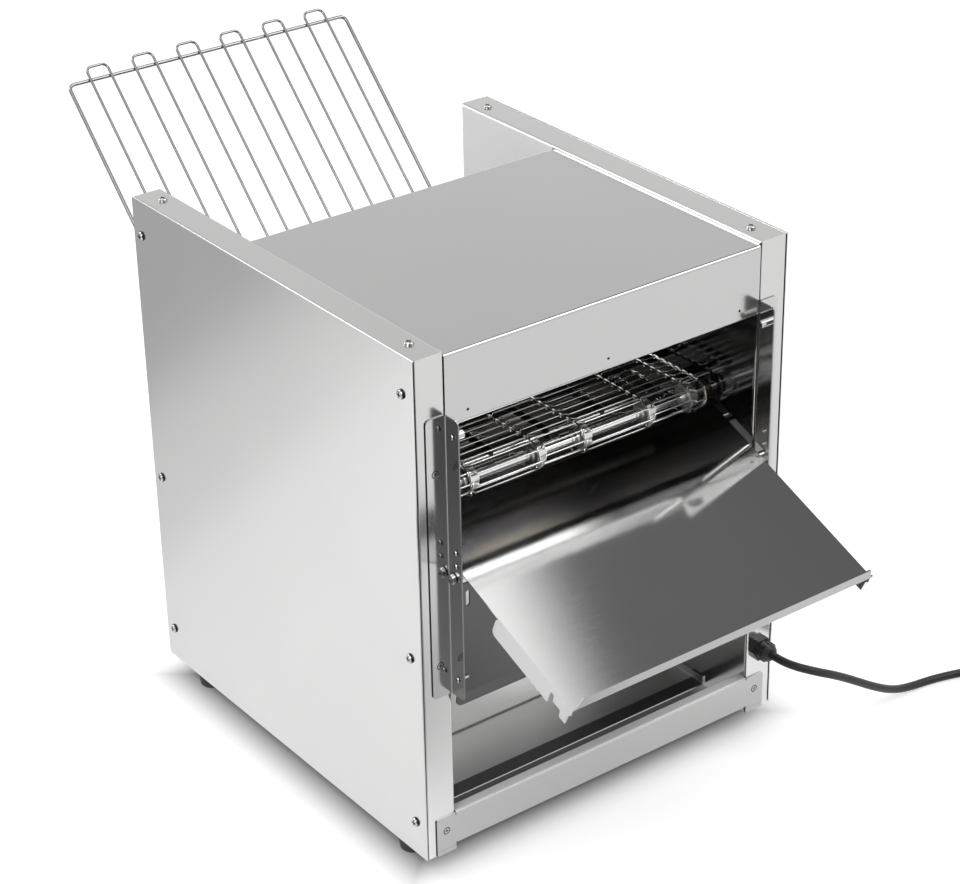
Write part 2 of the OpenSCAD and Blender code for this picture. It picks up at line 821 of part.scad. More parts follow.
// Floor of the base, with low flanges against the columns
module floor_plate() {
  edge = span / 2 - sheet / 2;
  line = [[-edge, floor_mid + floor_flange], [-edge, floor_mid], [edge, floor_mid],
          [edge, floor_mid + floor_flange]];
  color(steel) place() difference() {
    translate([0, inner_back, 0]) rotate([90, 0, 0])
      linear_extrude(height = inner_back - floor_start) polygon(folded(line, sheet, fold_r));
    // Two rows of ventilation slots
    for (i = [-5 : 5], y = floor_vent_y) translate([i * 3 * floor_vent_w, y, 0])
      linear_extrude(height = floor_flange) slot(floor_vent_w, floor_vent_len);
    // The compartment cover stands between the side flanges
    translate([-in_x, cover_start - fit, floor_mid + sheet / 2])
      cube([2 * in_x, body_d, floor_flange + cut]);
  }
}

// Front crossmember with a tab at each end that is screwed to the column
module front_crossmember() {
  t = sheet;
  line = [[t + 12, cross_z + t / 2], [-t / 2, cross_z + t / 2],
          [-t / 2, cross_z + cross_h - t / 2], [t + 10, cross_z + cross_h - t / 2],
          [t + 10, cross_z + cross_h - 8]];
  color(steel) place() difference() {
    union() {
      across(span) polygon(folded(line, t, fold_r));
      both_sides() translate([in_x - 3, 0, 0]) to_front() linear_extrude(height = t)
        difference() {
          square([tab_w, tab_h]);
          translate([tab_w, tab_h]) mirror([1, 0]) mirror([0, 1]) difference() {
            translate([-cut, -cut]) square(tab_corner + cut);
            translate([tab_corner, tab_corner]) circle(r = tab_corner);
          }
          // Relief beside the tab, above and below
          translate([-cut, tab_h - 3]) square([cut + 3.6, 3 + cut]);
          translate([-cut, -cut]) square([cut + 3.6, cross_z + 4]);
        }
    }
    both_sides() translate([tab_screw_x, -t, tab_screw_z]) to_front()
      flush_hole(screw_d, flush_d);
  }
}

module crossmember_screws() {
  color(bright) place() both_sides() translate([tab_screw_x, -sheet, tab_screw_z])
    to_front() flush_screw(screw_d, flush_d, flush_len);
}

// Rear wall of the compartment, with two rows of ventilation slots
module rear_panel() {
  t = sheet;
  line = [[body_d - cover_foot + 2, foot_mid], [body_d - t / 2, foot_mid],
          [body_d - t / 2, compartment_h]];
  color(steel) place() difference() {
    union() {
      across(span) polygon(folded(line, t, fold_r));
      // Straps welded on, with rounded ends
      both_sides() for (z = strap_z) translate([tab_screw_x, body_d, z]) rotate([-90, 0, 0])
        linear_extrude(height = t) translate([strap_h / 2 - strap_w, -strap_h / 2])
          round_rect(strap_w, strap_h, tab_corner);
    }
    both_sides() for (z = strap_z) translate([tab_screw_x, body_d - cut, z]) rotate([-90, 0, 0])
      cylinder(d = screw_d + 2 * hole_gap, h = sheet + 2 * cut);
    for (z = rear_vent_z, i = [-6 : 6])
      translate([i * 3.5 * rear_vent_w, body_d + cut, z]) to_front()
        linear_extrude(height = 2 * sheet + cut) slot(rear_vent_w, rear_vent_len);
  }
}

module rear_screws() {
  color(bright) place() both_sides() for (z = strap_z)
    translate([tab_screw_x, body_d + sheet, z]) to_back()
      pan_screw(screw_d, head_d, head_h, screw_len);
}

// Bar across the back that the rack's rails lean on
module rear_bar() {
  t = sheet;
  line = [[body_d - bar_deep, bar_z + t / 2], [body_d - t / 2, bar_z + t / 2],
          [body_d - t / 2, bar_top]];
  color(steel) place() {
    across(span) polygon(folded(line, t, fold_r));
    // End tabs against the column walls, below the rack's hook plates
    both_sides() translate([in_x - fit - t, body_d - bar_deep, bar_z + t / 2])
      cube([t, bar_deep - t / 2, rack_z - hook_plate / 2 - 5 - bar_z]);
  }
}

// ---------------------------------------------------------------- heating

// Reflector above the upper elements
module upper_reflector() {
  t = reflector_t;
  line = [[reflector_y[0], reflector_z - reflector_flange], [reflector_y[0], reflector_z],
          [reflector_y[1], reflector_z], [reflector_y[1], reflector_z - reflector_flange]];
  color(bright) place() across(span) polygon(folded(line, t, fold_r));
}

module heater_row(y, z) {
  for (i = [0 : heater_count - 1]) translate([0, y + i * heater_gap, z])
    bar_x(-in_x - heater_reach, in_x + heater_reach, heater_d);
}

module upper_heaters() {
  color(dark_steel) place() heater_row(upper_heater_y, upper_heater_z);
}

module lower_heaters() {
  color(dark_steel) place() heater_row(lower_heater_y, shaft_z);
}

// Ceramic caps on the ends of all elements, inside the columns
module heater_end_caps() {
  color(white) place() both_sides()
    for (i = [0 : heater_count - 1],
         p = [[lower_heater_y, shaft_z], [upper_heater_y, upper_heater_z]])
      translate([0, p[0] + i * heater_gap, p[1]]) {
        bar_x(in_x + heater_reach + press_gap, in_x + heater_reach + 8, 2 * cap_r);
        bar_x(in_x + heater_reach + 8, in_x + heater_reach + 12, cap_r);
      }
}

// ---------------------------------------------------------------- belt

// One edge of a belt wire at the distance o from its middle line: a step at each joint
function strand_edge(o) = [
  for (i = [0 : len(belt_joints) - 1], e = [-1, 1])
    let (s = i % 2 == 0 ? 1 : -1)
    [belt_joints[i] + e * joint_step / 2 - s * o * tan(22.5), s * e * joint_step / 2 + o]
];

// Corners of the hook at x that starts from a wire's middle line at y
function strand_hook(x, y, gap) =
  let (w = wire_d / 2, top = y + pitch - w - gap)
  [[x + w, y + w], [x + w, top], [x - w, top], [x - w, y + w]];

// Outline of one belt wire, with a hook at each end and one at each joint
function strand_outline(gap) =
  let (w = wire_d / 2, low = -joint_step / 2, upper = strand_edge(w), last = len(belt_joints) - 1)
  concat(
    [[-belt_half, low - w]], strand_edge(-w), [[belt_half, low - w]],
    [for (c = [1 : 3]) strand_hook(belt_half - w, low, gap)[c]],
    [for (i = [last : -1 : 0])
      let (s = i % 2 == 0 ? 1 : -1)
      each concat([upper[2 * i + 1], upper[2 * i]],
                  strand_hook(belt_joints[i] - hook_x, -s * joint_step / 2, gap))],
    [for (c = [0 : 2]) strand_hook(w - belt_half, low, gap)[c]]
  );

// One wire with its middle at y, z; its hooks point along +Y turned by a about X
module strand(y, z, a, gap) {
  translate([0, y, z]) rotate([a, 0, 0])
    linear_extrude(height = wire_d, center = true) polygon(strand_outline(gap));
}

// The closed belt: two straight runs and half a turn round each shaft. Round a
// shaft each wire lies in line with the next one.
module conveyor_belt() {
  half = teeth / 2;
  step = 360 / teeth;
  color(bright) place() {
    for (k = [1 : run_links - 1]) {
      gap = k < run_links - 1 ? press_gap : wrap_hook_gap;
      strand(shaft_y + k * pitch, shaft_z + pitch_r, 0, gap);
      strand(idler_y - k * pitch, shaft_z - pitch_r, 180, gap);
    }
    for (k = [0 : half]) {
      at = k * step;
      turned = min(k + 0.5, half) * step;
      gap = k < half ? wrap_hook_gap : press_gap;
      strand(idler_y + pitch_r * sin(at), shaft_z + pitch_r * cos(at), -turned, gap);
      strand(shaft_y - pitch_r * sin(at), shaft_z - pitch_r * cos(at), 180 - turned, gap);
    }
  }
}

// Toothed ring that carries the belt at one joint line
module belt_sprocket() {
  difference() {
    union() {
      bar_x(-sprocket_w / 2, sprocket_w / 2, 2 * sprocket_r);
      bar_x(-sprocket_hub_len / 2, sprocket_hub_len / 2, sprocket_hub_d);
    }
    bar_x(-sprocket_w, sprocket_w, shaft_d + 2 * press_gap);
    for (k = [0 : teeth - 1]) rotate([k * 360 / teeth, 0, 0])
      translate([0, 0, pitch_r]) bar_x(-sprocket_w, sprocket_w, groove_d);
    // Hollow sides between hub and rim
    for (s = [-1, 1]) translate([s * sprocket_w / 2, 0, 0]) difference() {
      bar_x(-sprocket_dish, sprocket_dish, 2 * (sprocket_r - sprocket_rim));
      bar_x(-sprocket_dish - cut, sprocket_dish + cut, sprocket_hub_d);
    }
  }
}

module drive_shaft() {
  color(bright) place() translate([0, shaft_y, shaft_z]) bar_x(-in_x - bush_len - 2, shaft_end, shaft_d);
}

module drive_sprockets() {
  color(bright) place() for (x = belt_joints)
    translate([x, shaft_y, shaft_z]) belt_sprocket();
}

module idler_shaft() {
  color(bright) place() translate([0, idler_y, shaft_z])
    bar_x(-in_x - bush_len - 2, in_x + bush_len + 2, shaft_d);
}

// Plain rollers that turn the belt at the back
module idler_rollers() {
  w = sprocket_w / 2;
  edge = 1;
  color(steel) place() for (x = belt_joints) translate([x, idler_y, shaft_z])
    rotate([0, 90, 0]) rotate_extrude() polygon([
      [shaft_d / 2 + press_gap, -w], [sprocket_r - edge, -w], [sprocket_r, edge - w],
      [sprocket_r, w - edge], [sprocket_r - edge, w], [shaft_d / 2 + press_gap, w]]);
}

// Flanged bush in the inner wall, drawn for the right side
module bush() {
  rotate([0, 90, 0]) rotate_extrude() polygon([
    [shaft_d / 2 + run_gap, in_x - bush_flange_t], [bush_flange_r, in_x - bush_flange_t],
    [bush_flange_r, in_x], [bush_r, in_x], [bush_r, in_x + bush_len],
    [shaft_d / 2 + run_gap, in_x + bush_len]]);
}

module front_bearings() {
  color(brass) place() both_sides() translate([0, shaft_y, shaft_z]) bush();
}

module rear_bearings() {
  color(brass) place() both_sides() translate([0, idler_y, shaft_z]) bush();
}

// Upright strips that the upper run slides on
module belt_rails() {
  color(steel) place() for (x = rail_x) difference() {
    union() {
      translate([x - rail_t / 2, rail_y[0], rail_top - rail_h])
        cube([rail_t, rail_y[1] - rail_y[0], rail_h]);
      for (y = rail_rod_y)
        translate([0, y, rail_rod_z]) bar_x(x - rail_t / 2, x + rail_t / 2, rod_d + 5);
    }
    for (y = rail_rod_y)
      translate([0, y, rail_rod_z]) bar_x(x - rail_t, x + rail_t, rod_d + 2 * press_gap);
    // Clear of the lower elements
    for (i = [0 : heater_count - 1]) translate([0, lower_heater_y + i * heater_gap, shaft_z])
      bar_x(x - rail_t, x + rail_t, heater_d + 1);
  }
}

module rail_rods() {
  color(bright) place() for (y = rail_rod_y)
    translate([0, y, rail_rod_z]) bar_x(-in_x - 4, in_x + 4, rod_d);
}

// ---------------------------------------------------------------- chain drive

// Local frame of the chain: Y from the drive shaft to the motor, Z across
module chain_frame() {
  translate([chain_x, shaft_y, shaft_z]) rotate([-chain_drop, 0, 0]) children();
}

// Point number i round the chain, in that frame
function chain_point(i) =
  let (n = chain_links, h = chain_teeth / 2, step = 360 / chain_teeth)
  i <= n ? [i * chain_pitch, chain_r]
  : i <= n + h ? [n * chain_pitch + chain_r * sin((i - n) * step), chain_r * cos((i - n) * step)]
  : i <= 2 * n + h ? [(2 * n + h - i) * chain_pitch, -chain_r]
  : [-chain_r * sin((i - 2 * n - h) * step), -chain_r * cos((i - 2 * n - h) * step)];

// Side plate between two pins, at the distance x from the middle
module chain_plate(a, b, x) {
  d = b - a;
  h = chain_plate_h;
  e = chain_plate_h;
  c = chain_plate_h / 2;
  translate([x, a[0], a[1]]) rotate([atan2(d[1], d[0]), 0, 0]) across(chain_plate_t)
    polygon([[-e + c, -h], [norm(d) + e - c, -h], [norm(d) + e, -h + c], [norm(d) + e, h - c],
             [norm(d) + e - c, h], [-e + c, h], [-e, h - c], [-e, -h + c]]);
}

// Roller chain: inner and outer links take turns
module drive_chain() {
  count = 2 * chain_links + chain_teeth;
  inner = chain_disc_t / 2 + 0.3 + chain_plate_t / 2;
  color(dark_steel) place() chain_frame() for (i = [0 : count - 1]) {
    a = chain_point(i);
    b = chain_point((i + 1) % count);
    x = inner + (i % 2) * (chain_plate_t + press_gap);
    translate([0, a[0], a[1]]) bar_x(-inner + chain_plate_t / 2 + 0.01,
                                     inner - chain_plate_t / 2 - 0.01, roller_d);
    for (s = [-1, 1]) chain_plate(a, b, s * x);
  }
}

// Sprocket for the chain. Each seat also clears the next roller, which has left it
// along the straight run, so the teeth narrow towards their tips.
module chain_wheel(bore) {
  step = 360 / chain_teeth;
  off = step - atan(chain_pitch / chain_r);
  seats = [[0, chain_r], [off, norm([chain_pitch, chain_r])], [-off, norm([chain_pitch, chain_r])]];
  difference() {
    union() {
      bar_x(-chain_disc_t / 2, chain_disc_t / 2, 2 * (chain_r + 2));
      bar_x(-chain_disc_t / 2 - chain_hub_len, -chain_disc_t / 2, chain_hub_d);
    }
    for (k = [0 : chain_teeth - 1], s = seats) rotate([k * step + s[0], 0, 0])
      translate([0, s[1], 0])
        bar_x(-cut - chain_disc_t / 2, cut + chain_disc_t / 2, roller_d + 2 * move_gap);
    bar_x(-chain_disc_t - chain_hub_len, chain_disc_t, bore + 2 * press_gap);
  }
}

module chain_sprocket() {
  color(steel) place() chain_frame() chain_wheel(shaft_d);
}

module motor_sprocket() {
  color(steel) place() chain_frame() translate([0, chain_c, 0]) chain_wheel(motor_shaft_d);
}

module motor_shaft() {
  color(bright) place() translate([0, motor_y, motor_z])
    bar_x(in_x - motor_plate_t - motor_spigot, shaft_end, motor_shaft_d);
}

// Gearbox with the motor behind it
module gear_motor() {
  face = in_x - fit - motor_plate_t - press_gap;
  color(dark_steel) place() translate([0, motor_y, motor_z]) difference() {
    union() {
      translate([face - gearbox_w, -gearbox_y / 2, -gearbox_z / 2])
        cube([gearbox_w, gearbox_y, gearbox_z]);
      bar_x(face - gearbox_w - motor_len, face - gearbox_w, 2 * motor_r);
      bar_x(face - gearbox_w - motor_len - 8, face - gearbox_w - motor_len, motor_r);
    }
    bar_x(in_x - motor_plate_t - motor_spigot - 2, in_x, motor_shaft_d + 2 * run_gap);
    for (k = [0 : 17]) rotate([k * 20, 0, 0]) translate([0, 0, motor_r])
      bar_x(face - gearbox_w - motor_len + 6, face - gearbox_w - 6, 3);
  }
}

// Plate between the gearbox and the column wall
module motor_bracket() {
  color(steel) place() translate([0, motor_y, motor_z]) difference() {
    translate([in_x - fit - motor_plate_t, -gearbox_y / 2 + 1, -gearbox_z / 2 - 12])
      cube([motor_plate_t, gearbox_y + 12, gearbox_z + 24]);
    bar_x(in_x - 4, in_x + cut, motor_shaft_d + 4);
    for (y = [-gearbox_y / 2 + 7, gearbox_y / 2 + 6], z = [-gearbox_z / 2 - 6, gearbox_z / 2 + 6])
      translate([0, y, z]) bar_x(in_x - 4, in_x + cut, 5);
  }
}

// ---------------------------------------------------------------- trays

// Shallow pan that slides out at the back on two runners
module crumb_tray() {
  t = crumb_t;
  wide = 2 * crumb_half;
  long = crumb_y[1] - crumb_y[0];
  color(steel) place() translate([-crumb_half, crumb_y[0], crumb_z]) {
    difference() {
      cube([wide, long, crumb_h]);
      translate([t, t, t]) cube([wide - 2 * t, long - 2 * t, crumb_h]);
    }
    // Folded grip along the back
    translate([crumb_half, 0, 0]) across(wide - 40) polygon(folded([
      [long - t / 2, crumb_h - 2], [long - t / 2, crumb_h + 6], [long + 13, crumb_h + 6],
      [long + 13, crumb_h]], t, 1.2));
  }
}

// Angle runners on the column walls
module crumb_runners() {
  t = sheet;
  line = [[crumb_half - 8, runner_z - t / 2], [in_x - fit - t / 2, runner_z - t / 2],
          [in_x - fit - t / 2, runner_z + crumb_h]];
  color(steel) place() both_sides() translate([0, crumb_y[1] - 6, 0]) rotate([90, 0, 0])
    linear_extrude(height = crumb_y[1] - crumb_y[0] - 8) polygon(folded(line, t, fold_r));
}

module tray_rod() {
  color(bright) place() translate([0, tray_rod_y, tray_rod_z])
    bar_x(-in_x - 3, in_x + 3, tray_rod_d);
}

// Local frame of the discharge tray: Y runs down its slope from the rear edge
module tray_frame() {
  translate([0, tray_rear, tray_z0]) rotate([tray_slope, 0, 0]) mirror([0, 1, 0]) children();
}

// Outline of a side flange: rounded rear end, hook slot, and a tab at the front
module flange_outline() {
  a = tray_len - tray_flange_len;
  slot = tray_len - 29;
  slot_w = 6;
  deep = tray_flange;
  difference() {
    union() {
      translate([a + 6, -deep]) square([tray_flange_len - 6 - 0.5, deep]);
      translate([a, -deep + 6]) square([8, deep - 12]);
      translate([a + 6, -deep + 6]) circle(r = 6);
      translate([a + 6, -6]) circle(r = 6);
    }
    // Hook slot, open below
    translate([slot, -10]) circle(r = slot_w / 2);
    translate([slot - slot_w / 2, -deep - cut]) square([slot_w, deep - 10 + cut]);
    // In front of the slot the flange narrows to the tab
    polygon([[slot, -deep - cut], [tray_len - 13, -deep - cut], [tray_len - 14, -15],
             [slot, -15]]);
    polygon([[tray_len - 4, -deep - cut], [tray_len + cut, -deep - cut], [tray_len + cut, -7],
             [tray_len - 3, -9]]);
  }
}

// Sloping tray: flat sheet with a front lip, side flanges and hooks for the rod
module discharge_tray() {
  t = sheet;
  color(bright) place() tray_frame() difference() {
    union() {
      across(2 * tray_half) polygon(folded([[0, 0], [tray_len, 0], [tray_len, tray_lip]], t, 1));
      both_sides() translate([tray_half - t / 2, 0, 0]) across(t) flange_outline();
      for (x = tray_hook_x) translate([x, 0, 0]) across(tray_hook_w) rod_hook();
    }
    // The lip's ends are cut back
    both_sides() translate([tray_half, tray_len + cut + t, tray_lip + t]) rotate([90, 0, 0])
      linear_extrude(height = 3 * t + 2 * cut)
        polygon([[cut, cut], [-9, cut], [-3, -tray_lip + 2], [cut, -tray_lip + 2]]);
  }
}

// Hook round the rod, open at the back
module rod_hook() {
  r = tray_rod_d / 2 + move_gap;
  translate([tray_rod_u, tray_rod_w]) difference() {
    union() {
      circle(r = r + sheet);
      square(r + sheet);
    }
    circle(r = r);
    translate([-r - 2 * sheet, -r - 2 * sheet]) square([r + 2 * sheet, r + 2.5 * sheet]);
    translate([-2 * r, r + sheet / 2]) square([4 * r, 2 * sheet]);
  }
}

// ---------------------------------------------------------------- infeed rack

// Local frame of the rack: Y runs up its slope from the lower rod
module rack_frame() {
  translate([0, rack_y, rack_z]) rotate([rack_slope, 0, 0]) children();
}

// U of round wire: legs from y = low to the top, with rounded corners, half width w
module wire_u(w, low, top, d) {
  for (s = [-1, 1]) translate([s * w, low, 0]) rotate([-90, 0, 0])
    cylinder(d = d, h = top - rack_bend - low);
  translate([0, top, 0]) bar_x(-w + rack_bend, w - rack_bend, d);
  for (s = [0, 1]) mirror([s, 0, 0]) translate([w - rack_bend, top - rack_bend, 0])
    rotate_extrude(angle = 90) translate([rack_bend, 0]) circle(d = d);
}

// Bent wire rack: frame, cross rods, and loops that stand past the top rod
module infeed_rack() {
  color(bright) place() rack_frame() {
    wire_u(rack_half, rail_d / 2 + press_gap, rack_len, rail_d);
    bar_x(-in_x + fit + 0.4, in_x - fit - 0.4, rail_d);
    translate([0, 40, 0])
      bar_x(-rack_half + rail_d / 2 + press_gap, rack_half - rail_d / 2 - press_gap, rail_d);
    for (i = [0 : loop_count - 1])
      translate([(i - (loop_count - 1) / 2) * loop_pitch, 0, rack_wire_w])
        wire_u(loop_w / 2, -2, rack_len + loop_over, loop_d);
  }
}

// Slotted plates on the column walls that hold the rack's lower rod
module rack_hooks() {
  w = hook_plate;
  notch = rail_d / 2 + move_gap;
  color(steel) place() both_sides()
    translate([in_x - fit - hook_t / 2, rack_y, rack_z]) difference() {
      across(hook_t) translate([4 - w / 2, -2 - w / 2]) round_rect(w, w, 3);
      rotate([rack_slope, 0, 0]) {
        bar_x(-hook_t, hook_t, 2 * notch);
        translate([-hook_t, 0, -notch]) cube([2 * hook_t, w, 2 * notch]);
      }
    }
}

// ---------------------------------------------------------------- feet and cord

module feet() {
  color(black) place() both_sides() for (y = [foot_inset, body_d - foot_inset])
    translate([out_x - column_w / 2 - 3, y, -foot_h]) difference() {
      rotate_extrude() polygon([[0, 0], [foot_d / 2 - 2.5, 0], [foot_d / 2 - 1.5, 1.2],
        [foot_d / 2, foot_h * 0.55], [foot_d / 2, foot_h - 1.5], [foot_d / 2 - 1.5, foot_h], [0, foot_h]]);
      translate([0, 0, -cut]) cylinder(d = 9, h = 9);
    }
}

// Nylon gland: thread through the sheet, hexagon, domed cap with grip ribs
module cable_gland() {
  r = gland_af / 2 - 1;
  color(black) place() translate([gland_x, 0, gland_z]) to_front() difference() {
    union() {
      translate([0, 0, -2 * nut_t]) cylinder(r = gland_r, h = 2 * nut_t);
      cylinder(d = gland_af / cos(30), h = gland_hex, $fn = 6);
      translate([0, 0, gland_hex]) {
        rotate_extrude() polygon([[0, 0], [r, 0], [r, 5], [r - 0.6, 9], [r - 2.6, 12.5],
                                  [r - 4.5, gland_cap], [0, gland_cap]]);
        for (k = [0 : 11]) rotate([0, 0, k * 30]) translate([r - 0.4, 0, 0])
          cylinder(d = 2, h = 8, $fn = 16);
      }
    }
    translate([0, 0, gland_hex + gland_cap - gland_bore])
      cylinder(d = cord_d + 0.1, h = gland_bore + cut);
    translate([0, 0, -2 * nut_t - cut]) cylinder(d = cord_d, h = nut_t + cut);
  }
}

module gland_locknut() {
  color(black) place() translate([gland_x, sheet, gland_z]) rotate([-90, 0, 0])
    difference() {
      cylinder(d = gland_af / cos(30), h = nut_t, $fn = 6);
      translate([0, 0, -cut]) cylinder(r = gland_r + press_gap, h = nut_t + 2 * cut);
    }
}

// Direction of the cord at its point i, and the two directions across it
function cord_dir(i) = unit(cord_route[min(i + 1, len(cord_route) - 1)] - cord_route[max(i - 1, 0)]);
function side_of(d) = unit(cross(d, abs(d[2]) < 0.9 ? [0, 0, 1] : [1, 0, 0]));

// Tube along the route, of n sides
module cord_tube(n) {
  last = len(cord_route) - 1;
  points = [for (i = [0 : last]) let (d = cord_dir(i), s = side_of(d), u = cross(s, d))
    for (k = [0 : n - 1]) cord_route[i] + cord_r * (cos(k * 360 / n) * s + sin(k * 360 / n) * u)];
  walls = [for (i = [0 : last - 1], k = [0 : n - 1])
    [i * n + k, i * n + (k + 1) % n, (i + 1) * n + (k + 1) % n, (i + 1) * n + k]];
  polyhedron(points, concat([[for (k = [n - 1 : -1 : 0]) k]], walls,
                            [[for (k = [0 : n - 1]) last * n + k]]), convexity = 4);
}

module power_cord() {
  color(black) place() cord_tube(cord_sides);
}

// Outer shape of the coiled rest of the cord
module cord_coil() {
  w = coil_wide * cord_d;
  h = coil_high * cord_d;
  color(black) place() translate([coil_at[0], coil_at[1], floor_z])
    rotate_extrude() translate([coil_r - w / 2, 0]) round_rect(w, h, cord_r / 2);
}

// Round moulded plug with two pins, lying beside the coil
module mains_plug() {
  r = plug_r;
  color(black) place() translate([plug_x, plug_y, floor_z + r]) rotate([-90, 0, 0]) {
    rotate_extrude() polygon([[0, 0], [r - 1.5, 0], [r, 1.5], [r, 16], [r - 3, 22],
                              [r - 7, plug_len - 4], [r - 9, plug_len], [0, plug_len]]);
    translate([0, 0, plug_len]) cylinder(r1 = cord_r + 2.6, r2 = cord_r + 0.6, h = relief_len);
    for (s = [-1, 1]) translate([s * pin_gap / 2, 0, -pin_len]) cylinder(d = pin_d, h = pin_len);
  }
}

// ---------------------------------------------------------------- controls

// Housing of the rocker switch: bezel outside, box inside the column
module switch_housing() {
  color(black) place() translate([out_x, control_y, switch_z]) difference() {
    union() {
      rotate([90, 0, 90]) linear_extrude(height = bezel_t)
        translate([-bezel_w / 2, -bezel_h / 2]) round_rect(bezel_w, bezel_h, 2);
      translate([-18, -switch_w / 2 - 0.8, -switch_h / 2 + 2.2]) cube([18, switch_w + 1.6, switch_h - 4.4]);
    }
    translate([-14, -switch_w / 2 + 0.7, -rocker_r - 0.3]) cube([20, switch_w - 1.4, 2 * rocker_r + 0.6]);
  }
}

// Rocker with its upper half pressed in; it tips about a line behind the panel
module switch_rocker() {
  color(black) place() translate([out_x - 3, control_y, switch_z]) rotate([0, -6, 0])
    difference() {
      rotate([90, 0, 0]) cylinder(r = rocker_r, h = switch_w - 2, center = true);
      translate([-rocker_r - cut, -switch_w, -rocker_r - cut])
        cube([rocker_r - 3 + cut, 2 * switch_w, 2 * rocker_r + 2 * cut]);
      for (s = [-1, 1]) rotate([0, s * 8, 0]) translate([6.5, -switch_w, s > 0 ? -cut : -20])
        cube([20, 2 * switch_w, 20 + cut]);
    }
}

// Fluted knob with a pointer groove and a spindle through the panel
module control_knob(z) {
  color(black) place() translate([out_x, control_y, z]) to_right() {
    difference() {
      translate([0, 0, 0.5]) rotate_extrude() polygon([[0, 0], [knob_d / 2, 0],
        [knob_d / 2, 3], [knob_d / 2 - 3, 5], [knob_d / 2 - 4, knob_h - 2.5],
        [knob_d / 2 - 6, knob_h - 0.5], [0, knob_h - 0.5]]);
      for (k = [0 : 11]) rotate([0, 0, k * 30 + 15]) translate([knob_d / 2 - 2, 0, 5.5])
        cylinder(d = 4.4, h = knob_h);
      // Pointer groove, upright at the left stop
      translate([-knob_d, -0.8, knob_h - 1]) cube([knob_d - 4, 1.6, 1 + cut]);
    }
    translate([0, 0, -14]) cylinder(d = spindle_d, h = 14.5);
  }
}

module upper_heat_knob() control_knob(knob_z[2]);

module lower_heat_knob() control_knob(knob_z[1]);

module speed_knob() control_knob(knob_z[0]);

// Regulators behind the three knobs, each with a bush in the panel
module regulators() {
  color(dark_steel) place() for (z = knob_z) translate([out_x, control_y, z]) to_right()
    difference() {
      union() {
        translate([0, 0, -panel_t - regulator_len]) cylinder(r = regulator_r, h = regulator_len);
        translate([0, 0, -panel_t]) cylinder(d = spindle_d + 2.6, h = panel_t);
      }
      translate([0, 0, 1 - regulator_len]) cylinder(d = spindle_d + 2 * run_gap, h = 2 * regulator_len);
    }
}

module pilot_lamp() {
  color([0.9, 0.35, 0.12]) place() translate([out_x, lamp_y, switch_z]) to_right() {
    rotate_extrude() polygon([[0, 0], [lamp_r + 1.5, 0], [lamp_r + 1.5, 1.4],
      [lamp_r, 2], [lamp_r * 0.8, 4], [lamp_r * 0.4, 5], [0, 5.2]]);
    translate([0, 0, -12]) cylinder(r = lamp_r - 1, h = 12);
  }
}

// Terminal block on the floor of the compartment: screw wells, and ribs between the ways
module terminal_block() {
  color(white) place() translate([block_at[0], block_at[1], floor_mid + sheet / 2 + press_gap])
    difference() {
      cube(block_size);
      for (i = [0 : block_ways - 1])
        translate([9 + i * block_pitch, block_size[1] / 2, block_size[2] - 12])
          cylinder(d = 5, h = 12 + cut);
      for (i = [1 : block_ways - 1])
        translate([8 - block_pitch / 2 + i * block_pitch, -cut, block_size[2] - 8])
          cube([2, block_size[1] + 2 * cut, 8 + cut]);
    }
}

// Safety thermostat on the compartment's side wall: can, flange and two tabs
module safety_thermostat() {
  color(dark_steel) place() translate([fit - in_x, thermostat_at[0], thermostat_at[1]]) {
    bar_x(0, thermostat_h, thermostat_d);
    translate([0, -20, -8]) cube([1.5, 40, 16]);
    for (s = [-1, 1]) translate([thermostat_h, s * 5 - 0.4, -3]) cube([8, 0.8, 6]);
  }
}

left_side_frame();
right_side_frame();
left_side_panel();
right_side_panel();
panel_screws();
column_top_screws();
top_cover();
left_bracket();
right_bracket();
bracket_screws();
bracket_studs();
tray_bolts();
front_apron();
compartment_cover();
floor_plate();
front_crossmember();
crossmember_screws();
rear_panel();
rear_screws();
rear_bar();
upper_reflector();
upper_heaters();
lower_heaters();
heater_end_caps();
belt_rails();
rail_rods();
conveyor_belt();
front_bearings();
rear_bearings();
drive_shaft();
drive_sprockets();
chain_sprocket();
idler_shaft();
idler_rollers();
gear_motor();
motor_bracket();
motor_shaft();
motor_sprocket();
drive_chain();
crumb_tray();
crumb_runners();
tray_rod();
discharge_tray();
infeed_rack();
rack_hooks();
feet();
cable_gland();
gland_locknut();
power_cord();
cord_coil();
mains_plug();
switch_housing();
switch_rocker();
upper_heat_knob();
lower_heat_knob();
speed_knob();
regulators();
pilot_lamp();
terminal_block();
safety_thermostat();
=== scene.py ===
"""Conveyor toaster, dressed for pictures on the frame of its CAD model.

Metres in the row frame. X runs across the machine, Y from front to back, Z up from
the surface it stands on.
"""
import bpy
import math
from mathutils import Matrix, Vector


